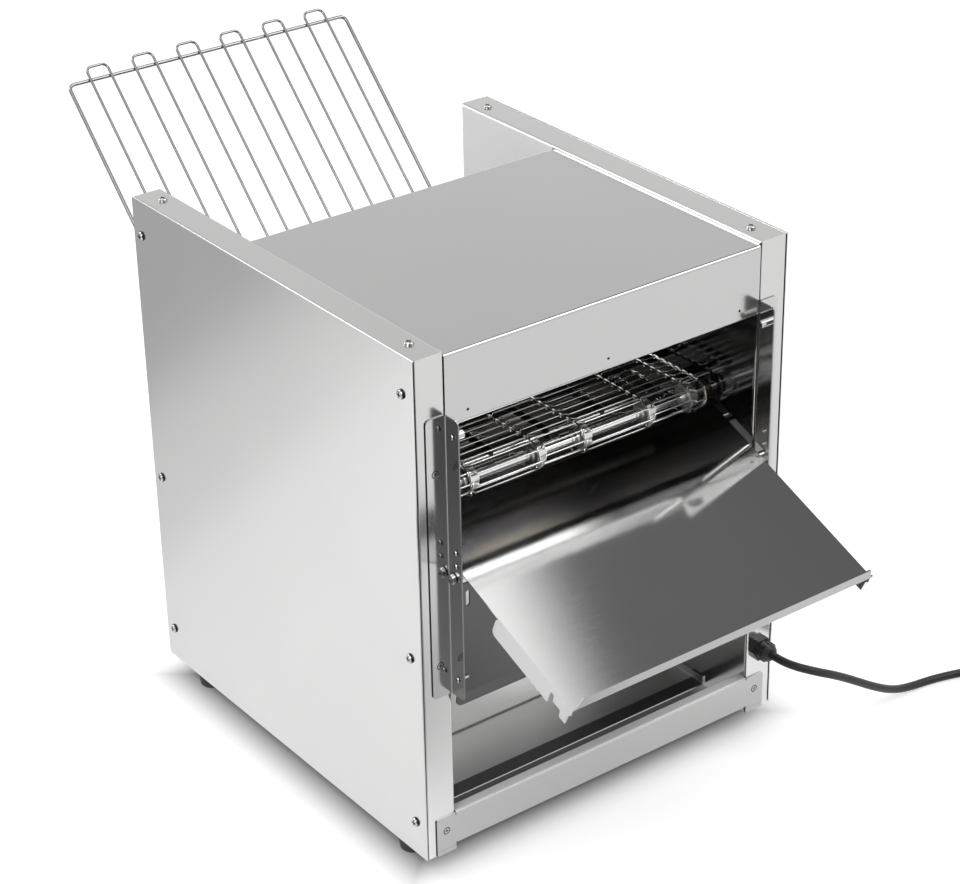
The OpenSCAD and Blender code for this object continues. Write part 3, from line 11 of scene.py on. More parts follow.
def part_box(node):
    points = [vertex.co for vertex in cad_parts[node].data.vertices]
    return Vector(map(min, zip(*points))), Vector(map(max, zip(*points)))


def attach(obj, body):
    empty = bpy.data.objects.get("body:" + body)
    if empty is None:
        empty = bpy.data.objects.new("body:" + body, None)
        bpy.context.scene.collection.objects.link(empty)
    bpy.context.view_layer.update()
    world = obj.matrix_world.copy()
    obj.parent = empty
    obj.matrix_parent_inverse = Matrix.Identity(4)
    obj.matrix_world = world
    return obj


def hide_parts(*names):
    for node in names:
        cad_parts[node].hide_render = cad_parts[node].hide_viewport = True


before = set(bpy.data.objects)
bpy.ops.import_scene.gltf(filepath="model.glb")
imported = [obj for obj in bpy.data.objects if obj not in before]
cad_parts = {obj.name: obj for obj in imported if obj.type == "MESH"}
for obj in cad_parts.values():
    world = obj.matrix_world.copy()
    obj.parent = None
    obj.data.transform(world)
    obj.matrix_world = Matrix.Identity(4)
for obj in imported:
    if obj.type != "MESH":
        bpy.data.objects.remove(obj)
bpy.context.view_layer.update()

# ---------------------------------------------------------------- side columns
# Two pans folded from bright rolled stainless sheet, each closed by a flat panel.
# Their inner walls face the toasting tunnel, and are painted dark there as its shade.


class Reading:
    """A number or colour that varies over a surface; arithmetic on it adds Math nodes."""

    def __init__(self, recipe, socket):
        self.recipe, self.socket = recipe, socket

    def math(self, operation, first, second):
        return self.recipe.node("ShaderNodeMath", {"operation": operation},
                                {0: first, 1: second})

    def __add__(self, other):
        return self.math("ADD", self, other)

    def __sub__(self, other):
        return self.math("SUBTRACT", self, other)

    def __rsub__(self, other):
        return self.math("SUBTRACT", other, self)

    def __mul__(self, other):
        return self.math("MULTIPLY", self, other)

    def __gt__(self, other):
        return self.math("GREATER_THAN", self, other)

    def __lt__(self, other):
        return self.math("LESS_THAN", self, other)

    def __mod__(self, other):
        return self.math("MODULO", self, other)

    def __pow__(self, other):
        return self.math("POWER", self, other)

    def __abs__(self):
        return self.math("ABSOLUTE", self, 0.0)

    __radd__, __rmul__ = __add__, __mul__

    def at_least(self, other):
        """The larger of the two."""
        return self.math("MAXIMUM", self, other)

    def at_most(self, other):
        """The smaller of the two."""
        return self.math("MINIMUM", self, other)

    def between(self, low, high):
        """1 from low to high, 0 elsewhere."""
        return (self > low) * (self < high)


class Recipe:
    """A tree of nodes, all of them made by one method."""

    def __init__(self, tree):
        self.tree = tree

    def node(self, kind, settings, sockets, out=0):
        """Adds a node: its settings first, then the values or links of its sockets."""
        made = self.tree.nodes.new(kind)
        for name, value in settings.items():
            if name == "stops":
                elements = made.color_ramp.elements
                while len(elements) < len(value):
                    elements.new(0.5)
                for stop, (at, colour) in zip(elements, value):
                    stop.position, stop.color = at, (*colour, 1)
            else:
                setattr(made, name, value)
        for name, value in sockets.items():
            if isinstance(value, Reading):
                self.tree.links.new(value.socket, made.inputs[name])
            else:
                made.inputs[name].default_value = value
        return Reading(self, made.outputs[out]) if made.outputs else None

    def blend(self, share, low, high):
        """Colour low where share is 0, colour high where it is 1."""
        return self.node("ShaderNodeMix", {"data_type": "RGBA"},
                         {0: share, 6: low if isinstance(low, Reading) else (*low, 1),
                          7: high if isinstance(high, Reading) else (*high, 1)}, 2)

    def ramp(self, where, *stops):
        """A grey that follows where: each stop is a place from 0 to 1 and the grey there."""
        greys = [(at, (grey, grey, grey)) for at, grey in stops]
        return self.node("ShaderNodeValToRGB", {"stops": greys}, {0: where})


class Finish(Recipe):
    """One surface finish: a Principled shader read in the piece's own coordinates."""

    def __init__(self, name, **constants):
        self.material = bpy.data.materials.new(name)
        self.material.use_nodes = True
        super().__init__(self.material.node_tree)
        self.shader = self.tree.nodes["Principled BSDF"]
        for name, value in constants.items():
            self.shader.inputs[name.replace("_", " ")].default_value = value
        self.place = self.node("ShaderNodeTexCoord", {}, {}, "Object")

    def along(self, axis):
        """The coordinate along X, Y or Z, in metres."""
        return self.node("ShaderNodeSeparateXYZ", {}, {0: self.place}, "XYZ".index(axis))

    def facing(self, axis):
        """How squarely the surface faces along an axis, from 0 to 1."""
        normal = self.node("ShaderNodeTexCoord", {}, {}, "Normal")
        return abs(self.node("ShaderNodeSeparateXYZ", {}, {0: normal}, "XYZ".index(axis)))

    def outward(self):
        """The distance to either side of the machine's middle, in metres."""
        return abs(self.along("X") + MID.x)

    def noise(self, scale, detail=2.0, stretch=(1, 1, 1)):
        """Smooth noise from 0 to 1; stretch above 1 packs it closer along an axis."""
        where = self.node("ShaderNodeMapping", {}, {"Vector": self.place, "Scale": stretch})
        return self.node("ShaderNodeTexNoise", {},
                         {"Vector": where, "Scale": scale, "Detail": detail})

    def feed(self, **varying):
        """Links what varies to the shader's sockets."""
        for name, value in varying.items():
            socket = self.shader.inputs[name.replace("_", " ")]
            self.tree.links.new(value.socket, socket)
        return self

    def relief(self, height, depth, strength=1.0):
        """Bump: height from 0 to 1 over a depth in metres."""
        bump = self.node("ShaderNodeBump", {},
                         {"Height": height, "Distance": depth, "Strength": strength})
        return self.feed(Normal=bump)

    def coat(self, *names):
        """Puts the finish on CAD nodes or pieces, by name."""
        for name in names:
            piece = bpy.data.objects[name]
            piece.data.materials.clear()
            piece.data.materials.append(self.material)


# Where the frame's origin lies, from the middle of the columns' front at their underside
MID = Vector((0.0070, 0.26296607, -0.022))
# Stretches of the rolling grain, by the axis it runs along
GRAIN = {"X": (0.02, 1, 1), "Y": (1, 0.02, 1), "Z": (1, 1, 0.02)}
# The inner wall of the left column, the stretch of it painted dark as the tunnel's shade, and
# where the roof ends
WALL_X, TUNNEL_Y, TUNNEL_Z = (-0.2035, -0.17), (-0.245, 0.10), (0.33, 0.563)
ROOF_END_Y = 0.085
# Just behind the columns' front, and its two folds, out from the machine's middle
COLUMN_FRONT_Y, INNER_FOLD, OUTER_FOLD = -0.26, 0.1953, 0.2272
# Below this height the front is painted paler, the more the lower: a painted reflection of the
# floor
SHEEN_BELOW_Z, SHEEN_GAIN = 0.36, 2.8


def rolled_sheet(name, grain, tone, gloss, *patches):
    """Bright stainless sheet: rolling grain along one axis, gloss a little uneven.

    Each patch is a function that gives, for the finish, where it lies, from 0 to 1, and
    what the sheet is like there: its tone, how much rougher it is and how metallic.
    """
    sheet = Finish(name, Metallic=1.0)
    lines = sheet.noise(2600, 3.0, GRAIN[grain])
    cloud = sheet.noise(5, 3.0)
    colour = sheet.blend(cloud, (tone * 0.97, tone * 0.97, tone * 0.97),
                         (tone * 1.03, tone * 1.03, tone * 1.02))
    gloss_there = cloud * 0.05 + lines * 0.06 + (gloss - 0.055)
    for where, (patch_tone, rougher, metal) in patches:
        patch = where(sheet)
        colour = sheet.blend(patch, colour, (patch_tone,) * 3)
        gloss_there = gloss_there + patch * rougher
        if metal < 1:
            sheet.feed(Metallic=1 - patch * (1 - metal))
    sheet.feed(Base_Color=colour, Roughness=gloss_there)
    sheet.relief(lines, 0.00002, 0.25)
    return sheet


def column_steel(name, inward):
    """Sheet of a column: its inner wall is painted near black between the belt and the roof, a
    painted shade of the tunnel.

    Behind the roof the wall is painted pale and matt, a painted sheen, and the front is painted
    paler towards the bottom, a painted reflection.
    Painted shade runs along both folds of the front.
    """
    sheet = Finish(name, Metallic=1.0)
    lines = sheet.noise(2600, 3.0, GRAIN["Z"])
    cloud = sheet.noise(5, 3.0)
    y, z, out = sheet.along("Y"), sheet.along("Z"), sheet.outward()
    edge = sheet.noise(14, 3.0) * 0.03
    wall = (sheet.along("X") * inward).between(*WALL_X)
    in_tunnel = (y + edge).between(*TUNNEL_Y) * (z + edge > TUNNEL_Z[0]) * (z < TUNNEL_Z[1])
    # Painted shade: the inner wall goes near black inside the tunnel
    tunnel_shade = wall * in_tunnel
    # Painted sheen: the wall behind the roof is painted pale and matt
    rear = (y + edge > ROOF_END_Y) * (sheet.facing("X") > 0.7)
    front = sheet.facing("Y") > 0.5
    # Painted shade: dark lines along both folds of the front
    fold_shade = front * (y < COLUMN_FRONT_Y) * ((out > OUTER_FOLD) + (out < INNER_FOLD))
    # Painted reflection: the front grows paler towards the bottom
    lower_sheen = front * (SHEEN_BELOW_Z - z).at_least(0.0) * SHEEN_GAIN
    bare = sheet.blend(rear.at_least(lower_sheen), (0.60, 0.60, 0.595), (0.92, 0.92, 0.915))
    sheet.feed(
        Base_Color=sheet.blend((tunnel_shade * 0.9).at_least(fold_shade), bare, (0.10, 0.10, 0.102)),
        Roughness=cloud * 0.05 + lines * 0.06 - tunnel_shade * 0.07 + rear * 0.2 + 0.11,
        Metallic=1 - rear * 0.6)
    sheet.relief(lines, 0.00002, 0.25)
    return sheet


column_steel("left_column_sheet", 1).coat("left_side_frame")
column_steel("right_column_sheet", -1).coat("right_side_frame")
rolled_sheet("outer_panel_sheet", "Z", 0.72, 0.20).coat(
    "left_side_panel", "right_side_panel")

# ---------------------------------------------------------------- screws
# Nickel-plated pan-head and countersunk screws, turned and rolled; their cross recesses
# and the foot or rim of their heads are painted dark as shade.


def plated(name, tone=0.60, gloss=0.14, recess_shade=None):
    """Turned and nickel-plated small steel parts.

    The last argument gives, for a finish, where a recess or the foot of a head is painted dark as
    shade, from 0 to 1.
    """
    metal = Finish(name, Metallic=1.0)
    pits = metal.noise(900, 3.0)
    colour = metal.blend(pits, (tone, tone, tone * 0.98),
                         (tone * 0.86, tone * 0.86, tone * 0.85))
    gloss_there = pits * 0.12 + (gloss - 0.06)
    if recess_shade:
        # Painted shade in the recesses and round the heads
        shade_there = recess_shade(metal)
        colour = metal.blend(shade_there, colour, (0.03, 0.03, 0.03))
        gloss_there = gloss_there + shade_there * 0.3
    metal.feed(Base_Color=colour, Roughness=gloss_there)
    metal.relief(pits, 0.00004, 0.3)
    return metal


# Foot of the side screws' heads, floor of the top recesses, foot of the small front heads
SIDE_HEAD_FOOT, TOP_RECESS_Z, SMALL_HEAD_FOOT = 0.2316, (0.5782, 0.5786), (0.1950, 0.1965)
# Flush screws of the column fronts, out from the middle and up, and the rim of their heads
FLUSH_SCREWS = ((0.206, 0.049), (0.208, 0.245), (0.208, 0.455))
RIM_INNER, RIM_OUTER, FLUSH_RECESS_Y, FLUSH_FROM_X = 0.0031, 0.0045, -0.26415, 0.2


def side_recess(metal):
    """Foot of the pan heads on the outer panels, and the floor of their cross recess, painted
    dark as shade.
    """
    return metal.outward() < SIDE_HEAD_FOOT


def top_recess(metal):
    """Floor of the cross recess on the column tops, painted dark as shade."""
    return metal.along("Z").between(*TOP_RECESS_Z)


def front_recess(metal):
    """Recess and rim of the flush screws, and the foot of the small pan heads beside them,
    painted dark as shade.
    """
    out, z = metal.outward(), metal.along("Z")
    shade_there = (metal.along("Y") > FLUSH_RECESS_Y) * (out > FLUSH_FROM_X)
    shade_there = shade_there + out.between(*SMALL_HEAD_FOOT)
    for across, rise in FLUSH_SCREWS:
        off, up = out - across, z - rise
        shade_there = shade_there + (off * off + up * up).between(RIM_INNER ** 2, RIM_OUTER ** 2)
    return shade_there.at_most(1.0)


plated("nickel_side_screws", recess_shade=side_recess).coat("panel_screws")
plated("nickel_top_screws", recess_shade=top_recess).coat("column_top_screws")
plated("nickel_front_screws", recess_shade=front_recess).coat(
    "bracket_screws", "crossmember_screws", "bracket_studs", "tray_bolts")
plated("nickel_rear_screws").coat("rear_screws")

# ---------------------------------------------------------------- top cover
# Roof and fascia in one folded stainless sheet between the columns, hemmed below and
# behind. The rolling grain runs across the machine.

rolled_sheet("cover_sheet", "X", 0.53, 0.18).coat("top_cover")

# ---------------------------------------------------------------- front brackets
# L brackets of bright sheet, screwed to the column fronts. Their flanges stand out in
# front and carry the bolts that the discharge tray rests on.

# Where the plate's outer edge and the tip of the standing flange begin
PLATE_EDGE, FLANGE_Y = 0.2145, -0.27
# What a sheet is like on a patch: its tone, how much rougher and how metallic it is
# The first is painted shade in the gap along an edge, the second a darker grey on the flange tip
EDGE_SHADE, DARKER_TIP = (0.05, 0.3, 1.0), (0.24, 0.15, 1.0)


def bracket_rim(sheet):
    """The outer edge of the plate that lies on the column, painted dark as the shadow of the gap
    beside it.
    """
    return (sheet.outward() > PLATE_EDGE) * (sheet.facing("X") > 0.8)


def flange_tip(sheet):
    """The front edge of the flange that stands out, painted a darker grey."""
    return (sheet.facing("Y") > 0.6) * (sheet.along("Y") < FLANGE_Y)


rolled_sheet("bracket_sheet", "Z", 0.55, 0.13, (bracket_rim, EDGE_SHADE),
             (flange_tip, DARKER_TIP)).coat("left_bracket", "right_bracket")

# ---------------------------------------------------------------- base
# Apron, crossmember, floor and the walls of the base compartment, all thin folded sheet.
# The crossmember is hemmed along its foot and screwed on by two end tabs.

# Where the end tabs, the hem's line and the top flange lie, and where the floor is covered
TAB_FROM, HEM_Z, TOP_FLANGE_Z, CROSSMEMBER_Y = 0.1905, (0.0268, 0.0273), 0.060, -0.179
# The first paints a pale matt sheen, the second paints shade
PALE_SHEEN, SHADED = (0.86, 0.25, 0.1), (0.05, 0.1, 1.0)

rolled_sheet("apron_sheet", "X", 0.11, 0.17).coat("front_apron")


def tab_rim(sheet):
    """The cut outline of the end tabs, which stand proud of the column fronts, painted dark as
    the shadow in the gap round them.
    """
    return (sheet.outward() > TAB_FROM) * (sheet.facing("Y") < 0.5)


def hem_line(sheet):
    """The shallow line that the folded-back lower hem leaves on the front, painted as a line of
    shade.
    """
    return (sheet.facing("Y") > 0.9) * sheet.along("Z").between(*HEM_Z) * 0.45


def rubbed_top(sheet):
    """The top flange, painted pale and matt as a painted sheen where light falls on it."""
    return (sheet.facing("Z") > 0.7) * (sheet.along("Z") > TOP_FLANGE_Z)


def below_crossmember(sheet):
    """Front strip of the floor plate, painted dark as the crossmember's shadow."""
    return (sheet.along("Y") < CROSSMEMBER_Y) * (sheet.facing("Z") > 0.7) * 0.85


rolled_sheet("crossmember_sheet", "X", 0.58, 0.20, (tab_rim, EDGE_SHADE), (hem_line, SHADED),
             (rubbed_top, PALE_SHEEN)).coat("front_crossmember")
# The floor plate and the compartment walls are painted paler than the rest of the sheet, as
# painted light inside the dark base
rolled_sheet("floor_sheet", "X", 0.88, 0.30, (below_crossmember, SHADED)).coat("floor_plate")
rolled_sheet("base_sheet", "X", 0.85, 0.26).coat("compartment_cover")
rolled_sheet("rear_sheet", "X", 0.60, 0.20).coat("rear_panel", "rear_bar")

# ---------------------------------------------------------------- heating
# Reflector of polished sheet, blued by the elements under it. The elements are tubes of
# nickel steel that glow in use and are grey-green when cold; their caps are ceramic.

# The reflector and the elements are also painted darker, as painted shade inside the tunnel
reflector = Finish("blued_reflector", Metallic=1.0)
heat = reflector.noise(22, 4.0, (0.25, 1, 1))
reflector.feed(
    Base_Color=reflector.node("ShaderNodeValToRGB", {"stops": [
        (0.25, (0.27, 0.268, 0.262)), (0.45, (0.24, 0.22, 0.195)), (0.6, (0.17, 0.165, 0.18)),
        (0.8, (0.22, 0.22, 0.225))]}, {0: heat}),
    Roughness=heat * 0.15 + 0.18)
reflector.coat("upper_reflector")

element = Finish("oxidised_element", Metallic=0.6)
oxide = element.noise(260, 4.0, (0.4, 1, 1))
element.feed(Base_Color=element.blend(oxide, (0.035, 0.037, 0.032), (0.09, 0.085, 0.07)),
             Roughness=oxide * 0.25 + 0.42)
element.relief(oxide, 0.0002, 0.4)
element.coat("upper_heaters", "lower_heaters")

ceramic = Finish("fired_ceramic", Coat_Roughness=0.2)
speck = ceramic.noise(700, 3.0)
ceramic.feed(Base_Color=ceramic.blend(speck, (0.80, 0.77, 0.69), (0.68, 0.64, 0.56)),
             Roughness=speck * 0.2 + 0.45)
ceramic.relief(speck, 0.0001, 0.4)
ceramic.coat("heater_end_caps", "terminal_block")

# ---------------------------------------------------------------- conveyor belt
# Endless belt of steel wires. Each wire steps sideways at six joints, where a curl of the
# wire beside it grips it, so the belt can bend round the shafts.

# Distance between wires, their diameter, half the belt's width and a wire's side step
PITCH, WIRE, BELT_HALF, STEP = 0.0115, 0.0018, 0.184, 0.004
# Where a wire steps, how far beside each step the curl sits, its points and their degrees
JOINTS = (-0.169, -0.113, -0.029, 0.029, 0.113, 0.169)
CURL_BESIDE, CURL_PARTS, CURL_TURN, CORNER = 0.0062, 6, 42, 0.0016
# The front shaft, from the columns' front and underside, wires to a run, sprocket teeth
FRONT_Y, SHAFT_Z, RUN, TEETH = 0.078, 0.362, 32, 8


def set_aside():
    """Leaves nothing selected, so that the next operator acts on its own piece alone."""
    bpy.ops.object.select_all(action="DESELECT")


def rounded_path(points, radius, parts=3):
    """The points of a path with its corners turned into short arcs."""
    points = [Vector(p) for p in points]
    path = [points[0]]
    for before, corner, after in zip(points, points[1:], points[2:]):
        inward, outward = (before - corner), (after - corner)
        cut = min(radius, inward.length * 0.45, outward.length * 0.45)
        start, end = corner + inward.normalized() * cut, corner + outward.normalized() * cut
        for k in range(parts + 1):
            t = k / parts
            path.append(start * (1 - t) ** 2 + corner * (2 * t * (1 - t)) + end * t ** 2)
    return path + [points[-1]]


def wire_curve(name, points, diameter, sides=8):
    """A round wire along the points, as a curve with closed ends."""
    curve = bpy.data.curves.new(name, "CURVE")
    curve.dimensions = "3D"
    curve.bevel_depth = diameter / 2
    curve.bevel_resolution = sides // 2 - 2
    curve.use_fill_caps = True
    line = curve.splines.new("POLY")
    line.points.add(len(points) - 1)
    for point, place in zip(line.points, points):
        point.co = (*place, 1)
    wire = bpy.data.objects.new(name, curve)
    bpy.context.scene.collection.objects.link(wire)
    return wire


def bent_wire(name, points, diameter, sides=8):
    """A round wire along the points, as a mesh."""
    wire = wire_curve(name, points, diameter, sides)
    set_aside()
    wire.select_set(True)
    bpy.context.view_layer.objects.active = wire
    bpy.ops.object.convert(target="MESH")
    return bpy.context.object


def joined(name, pieces):
    """One mesh of several pieces, with its object at the origin."""
    set_aside()
    for piece in pieces:
        piece.select_set(True)
    bpy.context.view_layer.objects.active = pieces[0]
    if len(pieces) > 1:
        bpy.ops.object.join()
    bpy.ops.object.transform_apply(location=True, rotation=True, scale=True)
    whole = bpy.context.object
    whole.name = whole.data.name = name
    return whole


def fitted(piece, body, slot, *replaced):
    """A finished piece rides on its body and stands for the CAD nodes that it replaces."""
    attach(piece, body)
    if replaced:
        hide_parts(*replaced)
    return piece


def belt_wire():
    """One wire along X: steps at the joints, and curls that grip the next wire along +Y."""
    low = -STEP / 2
    line = [(-BELT_HALF + WIRE / 2, PITCH + low - WIRE, 0), (-BELT_HALF + WIRE / 2, low, 0)]
    for number, joint in enumerate(JOINTS):
        side = 1 if number % 2 == 0 else -1
        line += [(joint - STEP / 2, side * low, 0), (joint + STEP / 2, -side * low, 0)]
    line += [(BELT_HALF - WIRE / 2, low, 0), (BELT_HALF - WIRE / 2, PITCH + low - WIRE, 0)]
    parts = [bent_wire("belt_wire", rounded_path(line, CORNER, 2), WIRE, 8)]
    grips = [(joint - CURL_BESIDE, -STEP / 2 if number % 2 == 0 else STEP / 2)
             for number, joint in enumerate(JOINTS)]
    grips += [(-BELT_HALF + WIRE / 2, low), (BELT_HALF - WIRE / 2, low)]
    for x, y in grips:
        reach = WIRE * 1.04
        curl = [(x, y, 0), (x, y + 0.002, reach * 0.55), (x, y + PITCH * 0.5, reach)]
        for k in range(CURL_PARTS):
            turn = math.radians(90 - CURL_TURN * k)
            curl.append((x, y + PITCH + reach * math.cos(turn), reach * math.sin(turn)))
        parts.append(bent_wire("belt_curl", curl, WIRE * 0.94, 6))
    return joined("belt_wire", parts)


pattern = belt_wire()
pitch_r = PITCH / (2 * math.sin(math.pi / TEETH))
tooth_turn = 360 / TEETH
rear_y = FRONT_Y + RUN * PITCH
places = []
for k in range(1, RUN):
    places += [(FRONT_Y + k * PITCH, SHAFT_Z + pitch_r, 0.0),
               (rear_y - k * PITCH, SHAFT_Z - pitch_r, 180.0)]
for k in range(TEETH // 2 + 1):
    at, lean = math.radians(k * tooth_turn), min(k + 0.5, TEETH / 2) * tooth_turn
    places += [(rear_y + pitch_r * math.sin(at), SHAFT_Z + pitch_r * math.cos(at), -lean),
               (FRONT_Y - pitch_r * math.sin(at), SHAFT_Z - pitch_r * math.cos(at), 180 - lean)]
wires = []
for y, z, lean in places:
    wire = pattern.copy()
    wire.data = pattern.data.copy()
    bpy.context.scene.collection.objects.link(wire)
    wire.matrix_world = (Matrix.Translation(Vector((0, y, z)) - MID)
                         @ Matrix.Rotation(math.radians(lean), 4, "X"))
    wires.append(wire)
bpy.data.objects.remove(pattern)
belt = joined("belt_wires", wires)
bpy.ops.object.shade_smooth_by_angle(angle=math.radians(50))

belt_metal = Finish("belt_wire_steel", Metallic=1.0)
tarnish = belt_metal.noise(60, 3.0)
belt_metal.feed(
    Base_Color=belt_metal.blend(tarnish, (0.96, 0.96, 0.95), (0.84, 0.83, 0.81)),
    Roughness=tarnish * 0.12 + 0.12)
belt_metal.coat("belt_wires")
fitted(belt, "casing", "belt_wire", "conveyor_belt")

# ---------------------------------------------------------------- belt shafts and rails
# Ground steel shafts in sintered bronze bushes, pressed sprockets, and the strips that the
# upper run slides on. The front shaft is polished by handling, the rails by the belt.


def ground_shaft(name, tone=0.92):
    """Ground round bar: fine rings round its axis, which lies along X."""
    bar = Finish(name, Metallic=1.0)
    rings = bar.noise(1800, 2.0, (1, 0.05, 0.05))
    bar.feed(Base_Color=bar.blend(rings, (tone, tone, tone), (tone * 0.9,) * 3),
             Roughness=rings * 0.08 + 0.08)
    bar.relief(rings, 0.00002, 0.3)
    return bar


ground_shaft("ground_bar").coat("drive_shaft", "idler_shaft", "rail_rods", "tray_rod",
                                "motor_shaft")
sprocket_steel = Finish("pressed_sprocket", Metallic=1.0)
wear = sprocket_steel.noise(300, 3.0)
sprocket_steel.feed(
    Base_Color=sprocket_steel.blend(wear, (0.86, 0.86, 0.85), (0.70, 0.70, 0.69)),
    Roughness=wear * 0.2 + 0.24)
sprocket_steel.relief(wear, 0.00008, 0.35)
sprocket_steel.coat("drive_sprockets", "idler_rollers")
plated("rail_steel", 0.10, 0.35).coat("belt_rails")

bronze = Finish("sintered_bronze", Metallic=1.0)
pores = bronze.noise(2200, 2.0)
bronze.feed(Base_Color=bronze.blend(pores, (0.17, 0.13, 0.08), (0.10, 0.07, 0.045)),
            Roughness=pores * 0.25 + 0.3)
bronze.relief(pores, 0.00005, 0.5)
bronze.coat("front_bearings", "rear_bearings")

# ---------------------------------------------------------------- chain drive
# Geared motor on a plate inside the right column: a black painted motor can on a bare
# cast gearbox, hardened sprockets and an oiled roller chain.

# Past this the motor's can ends and its gearbox begins
GEARBOX_X = 0.150
motor = Finish("motor_and_gearbox")
grit = motor.noise(1500, 3.0)
casting = motor.along("X") > GEARBOX_X
motor.feed(
    Base_Color=motor.blend(casting, (0.02, 0.02, 0.022), (0.55, 0.55, 0.54)),
    Metallic=casting * 0.9,
    Roughness=grit * 0.15 + casting * 0.1 + 0.32)
motor.relief(grit, 0.00015, 0.5)
motor.coat("gear_motor")
plated("zinc_plate", 0.55, 0.35).coat("motor_bracket", "crumb_runners", "rack_hooks")
plated("oiled_chain", 0.30, 0.30).coat("drive_chain", "chain_sprocket", "motor_sprocket")

# ---------------------------------------------------------------- trays
# The discharge tray is bright sheet that hooks on a rod and rests on two bolts. The crumb
# tray under the belt is thinner and dark with baked-on fat, and painted darker still as shade
# under the belt.

# Painted shade on the lip and on the side flanges, by the way they face: tone, how much rougher
# and how metallic
LIP_SHADE, FLANGE_SHADE = (0.47, 0.12, 1.0), (0.60, 0.08, 1.0)


def front_lip(sheet):
    """The lip that hands hold, painted darker as shade."""
    return sheet.facing("Y") > 0.7


def side_flanges(sheet):
    """The flanges that rest on the bolts, painted darker as shade."""
    return sheet.facing("X") > 0.7


rolled_sheet("tray_sheet", "X", 0.74, 0.06, (front_lip, LIP_SHADE),
             (side_flanges, FLANGE_SHADE)).coat("discharge_tray")

pan = Finish("crumb_pan_sheet", Metallic=1.0)
baked = pan.noise(9, 4.0)
pan.feed(Base_Color=pan.blend(baked, (0.07, 0.068, 0.065), (0.045, 0.035, 0.025)),
         Roughness=baked * 0.3 + 0.15)
pan.coat("crumb_tray")

# ---------------------------------------------------------------- infeed rack
# Bent and welded wire with a chrome finish. It leans on a bar behind the cover, and its
# lower rod lies in two slotted plates, so it lifts out.

chrome = Finish("chromed_wire", Metallic=1.0)
film = chrome.noise(90, 2.0)
chrome.feed(Base_Color=chrome.blend(film, (0.36, 0.36, 0.365), (0.28, 0.28, 0.285)),
            Roughness=film * 0.08 + 0.08)
chrome.coat("infeed_rack")

# ---------------------------------------------------------------- feet
# Moulded rubber feet under the corners of the columns, matt and slightly dusty near the
# ground.

# No dust above this height
DUSTY_HEIGHT = 0.025
rubber = Finish("foot_rubber")
dust = rubber.noise(180, 4.0)
low = 1 - rubber.along("Z") * (1 / DUSTY_HEIGHT)
rubber.feed(Base_Color=rubber.blend(dust * low * 0.6, (0.018, 0.018, 0.018),
                                    (0.09, 0.085, 0.08)),
            Roughness=dust * 0.2 + 0.6)
rubber.relief(dust, 0.0002, 0.4)
rubber.coat("feet")

# ---------------------------------------------------------------- gland and mains cord
# The cord leaves a nylon gland in the right column, hangs down to the surface and runs
# into a neat coil with its plug beside it.


def black_plastic(name, grain, dark, pale, roughness, marks=None, detail=3.0, depth=0.00005,
                  **constants):
    """Moulded black plastic with a fine grain.

    marks gives, for the finish, where paint fills a mark, from 0 to 1.
    """
    plastic = Finish(name, **constants)
    mottle = plastic.noise(grain, detail)
    colour = plastic.blend(mottle, dark, pale)
    if marks:
        colour = plastic.blend(marks(plastic), colour, (0.80, 0.80, 0.78))
    plastic.feed(Base_Color=colour, Roughness=mottle * 0.15 + roughness)
    plastic.relief(mottle, depth, 0.4)
    return plastic


black_plastic("gland_nylon", 1200, (0.014, 0.014, 0.015), (0.03, 0.03, 0.031), 0.3,
              detail=2.0).coat("cable_gland", "gland_locknut", "regulators")

# The cord's diameter, and its way from the gland down to the surface, in metres
CORD = 0.009
ROUTE = [
    (0.212, -0.016, 0.077), (0.212, -0.030, 0.077), (0.214, -0.0425, 0.0766),
    (0.2195, -0.054, 0.0752), (0.2285, -0.063, 0.0723), (0.2395, -0.069, 0.0678),
    (0.252, -0.0715, 0.0616), (0.270, -0.0717, 0.0508), (0.290, -0.071, 0.0376),
    (0.310, -0.0696, 0.024), (0.330, -0.0674, 0.011), (0.350, -0.064, -0.001),
    (0.370, -0.0615, -0.010), (0.391, -0.060, -0.0155), (0.413, -0.0615, -0.0175),
    (0.436, -0.067, -0.0175), (0.460, -0.075, -0.0175),
]
# The coil's middle, its outer and inner turns and its lower and upper layers
COIL_AT, OUTER, INNER = (0.484, -0.146), 0.0585, 0.0495
LOW_TURN, HIGH_TURN = -0.0175, -0.0085
# The angle where the cord meets the coil, its whole turns, and degrees between points
ENTRY, TURNS, TURN_STEP = 68, 3, 15
# The plug's axis, the end of its strain relief, and the face that its pins stand on
PLUG_X, PLUG_Z, RELIEF_END, PLUG_FACE = 0.5425, -0.004, -0.1995, -0.2357


def eased(share):
    """0 to 1 with level ends."""
    share = min(max(share, 0.0), 1.0)
    return share * share * (3 - 2 * share)


def coil_turns(start, turned):
    """Points of the coil, clockwise from the angle start, two turns wide and two high."""
    # Between these degrees the cord moves to the inner turn, up a layer and out again
    windows = [(245, 335, "r", INNER - OUTER), (560, 650, "z", HIGH_TURN - LOW_TURN),
               (820, 910, "r", OUTER - INNER)]
    points = []
    for step in range(0, turned, TURN_STEP):
        radius, height = OUTER, LOW_TURN
        for begin, finish, kind, shift in windows:
            moved = shift * eased((step - begin) / (finish - begin))
            radius, height = (radius + moved, height) if kind == "r" else (radius, height + moved)
        turn = math.radians(start - step)
        points.append((COIL_AT[0] + radius * math.cos(turn),
                       COIL_AT[1] + radius * math.sin(turn), height))
    return points


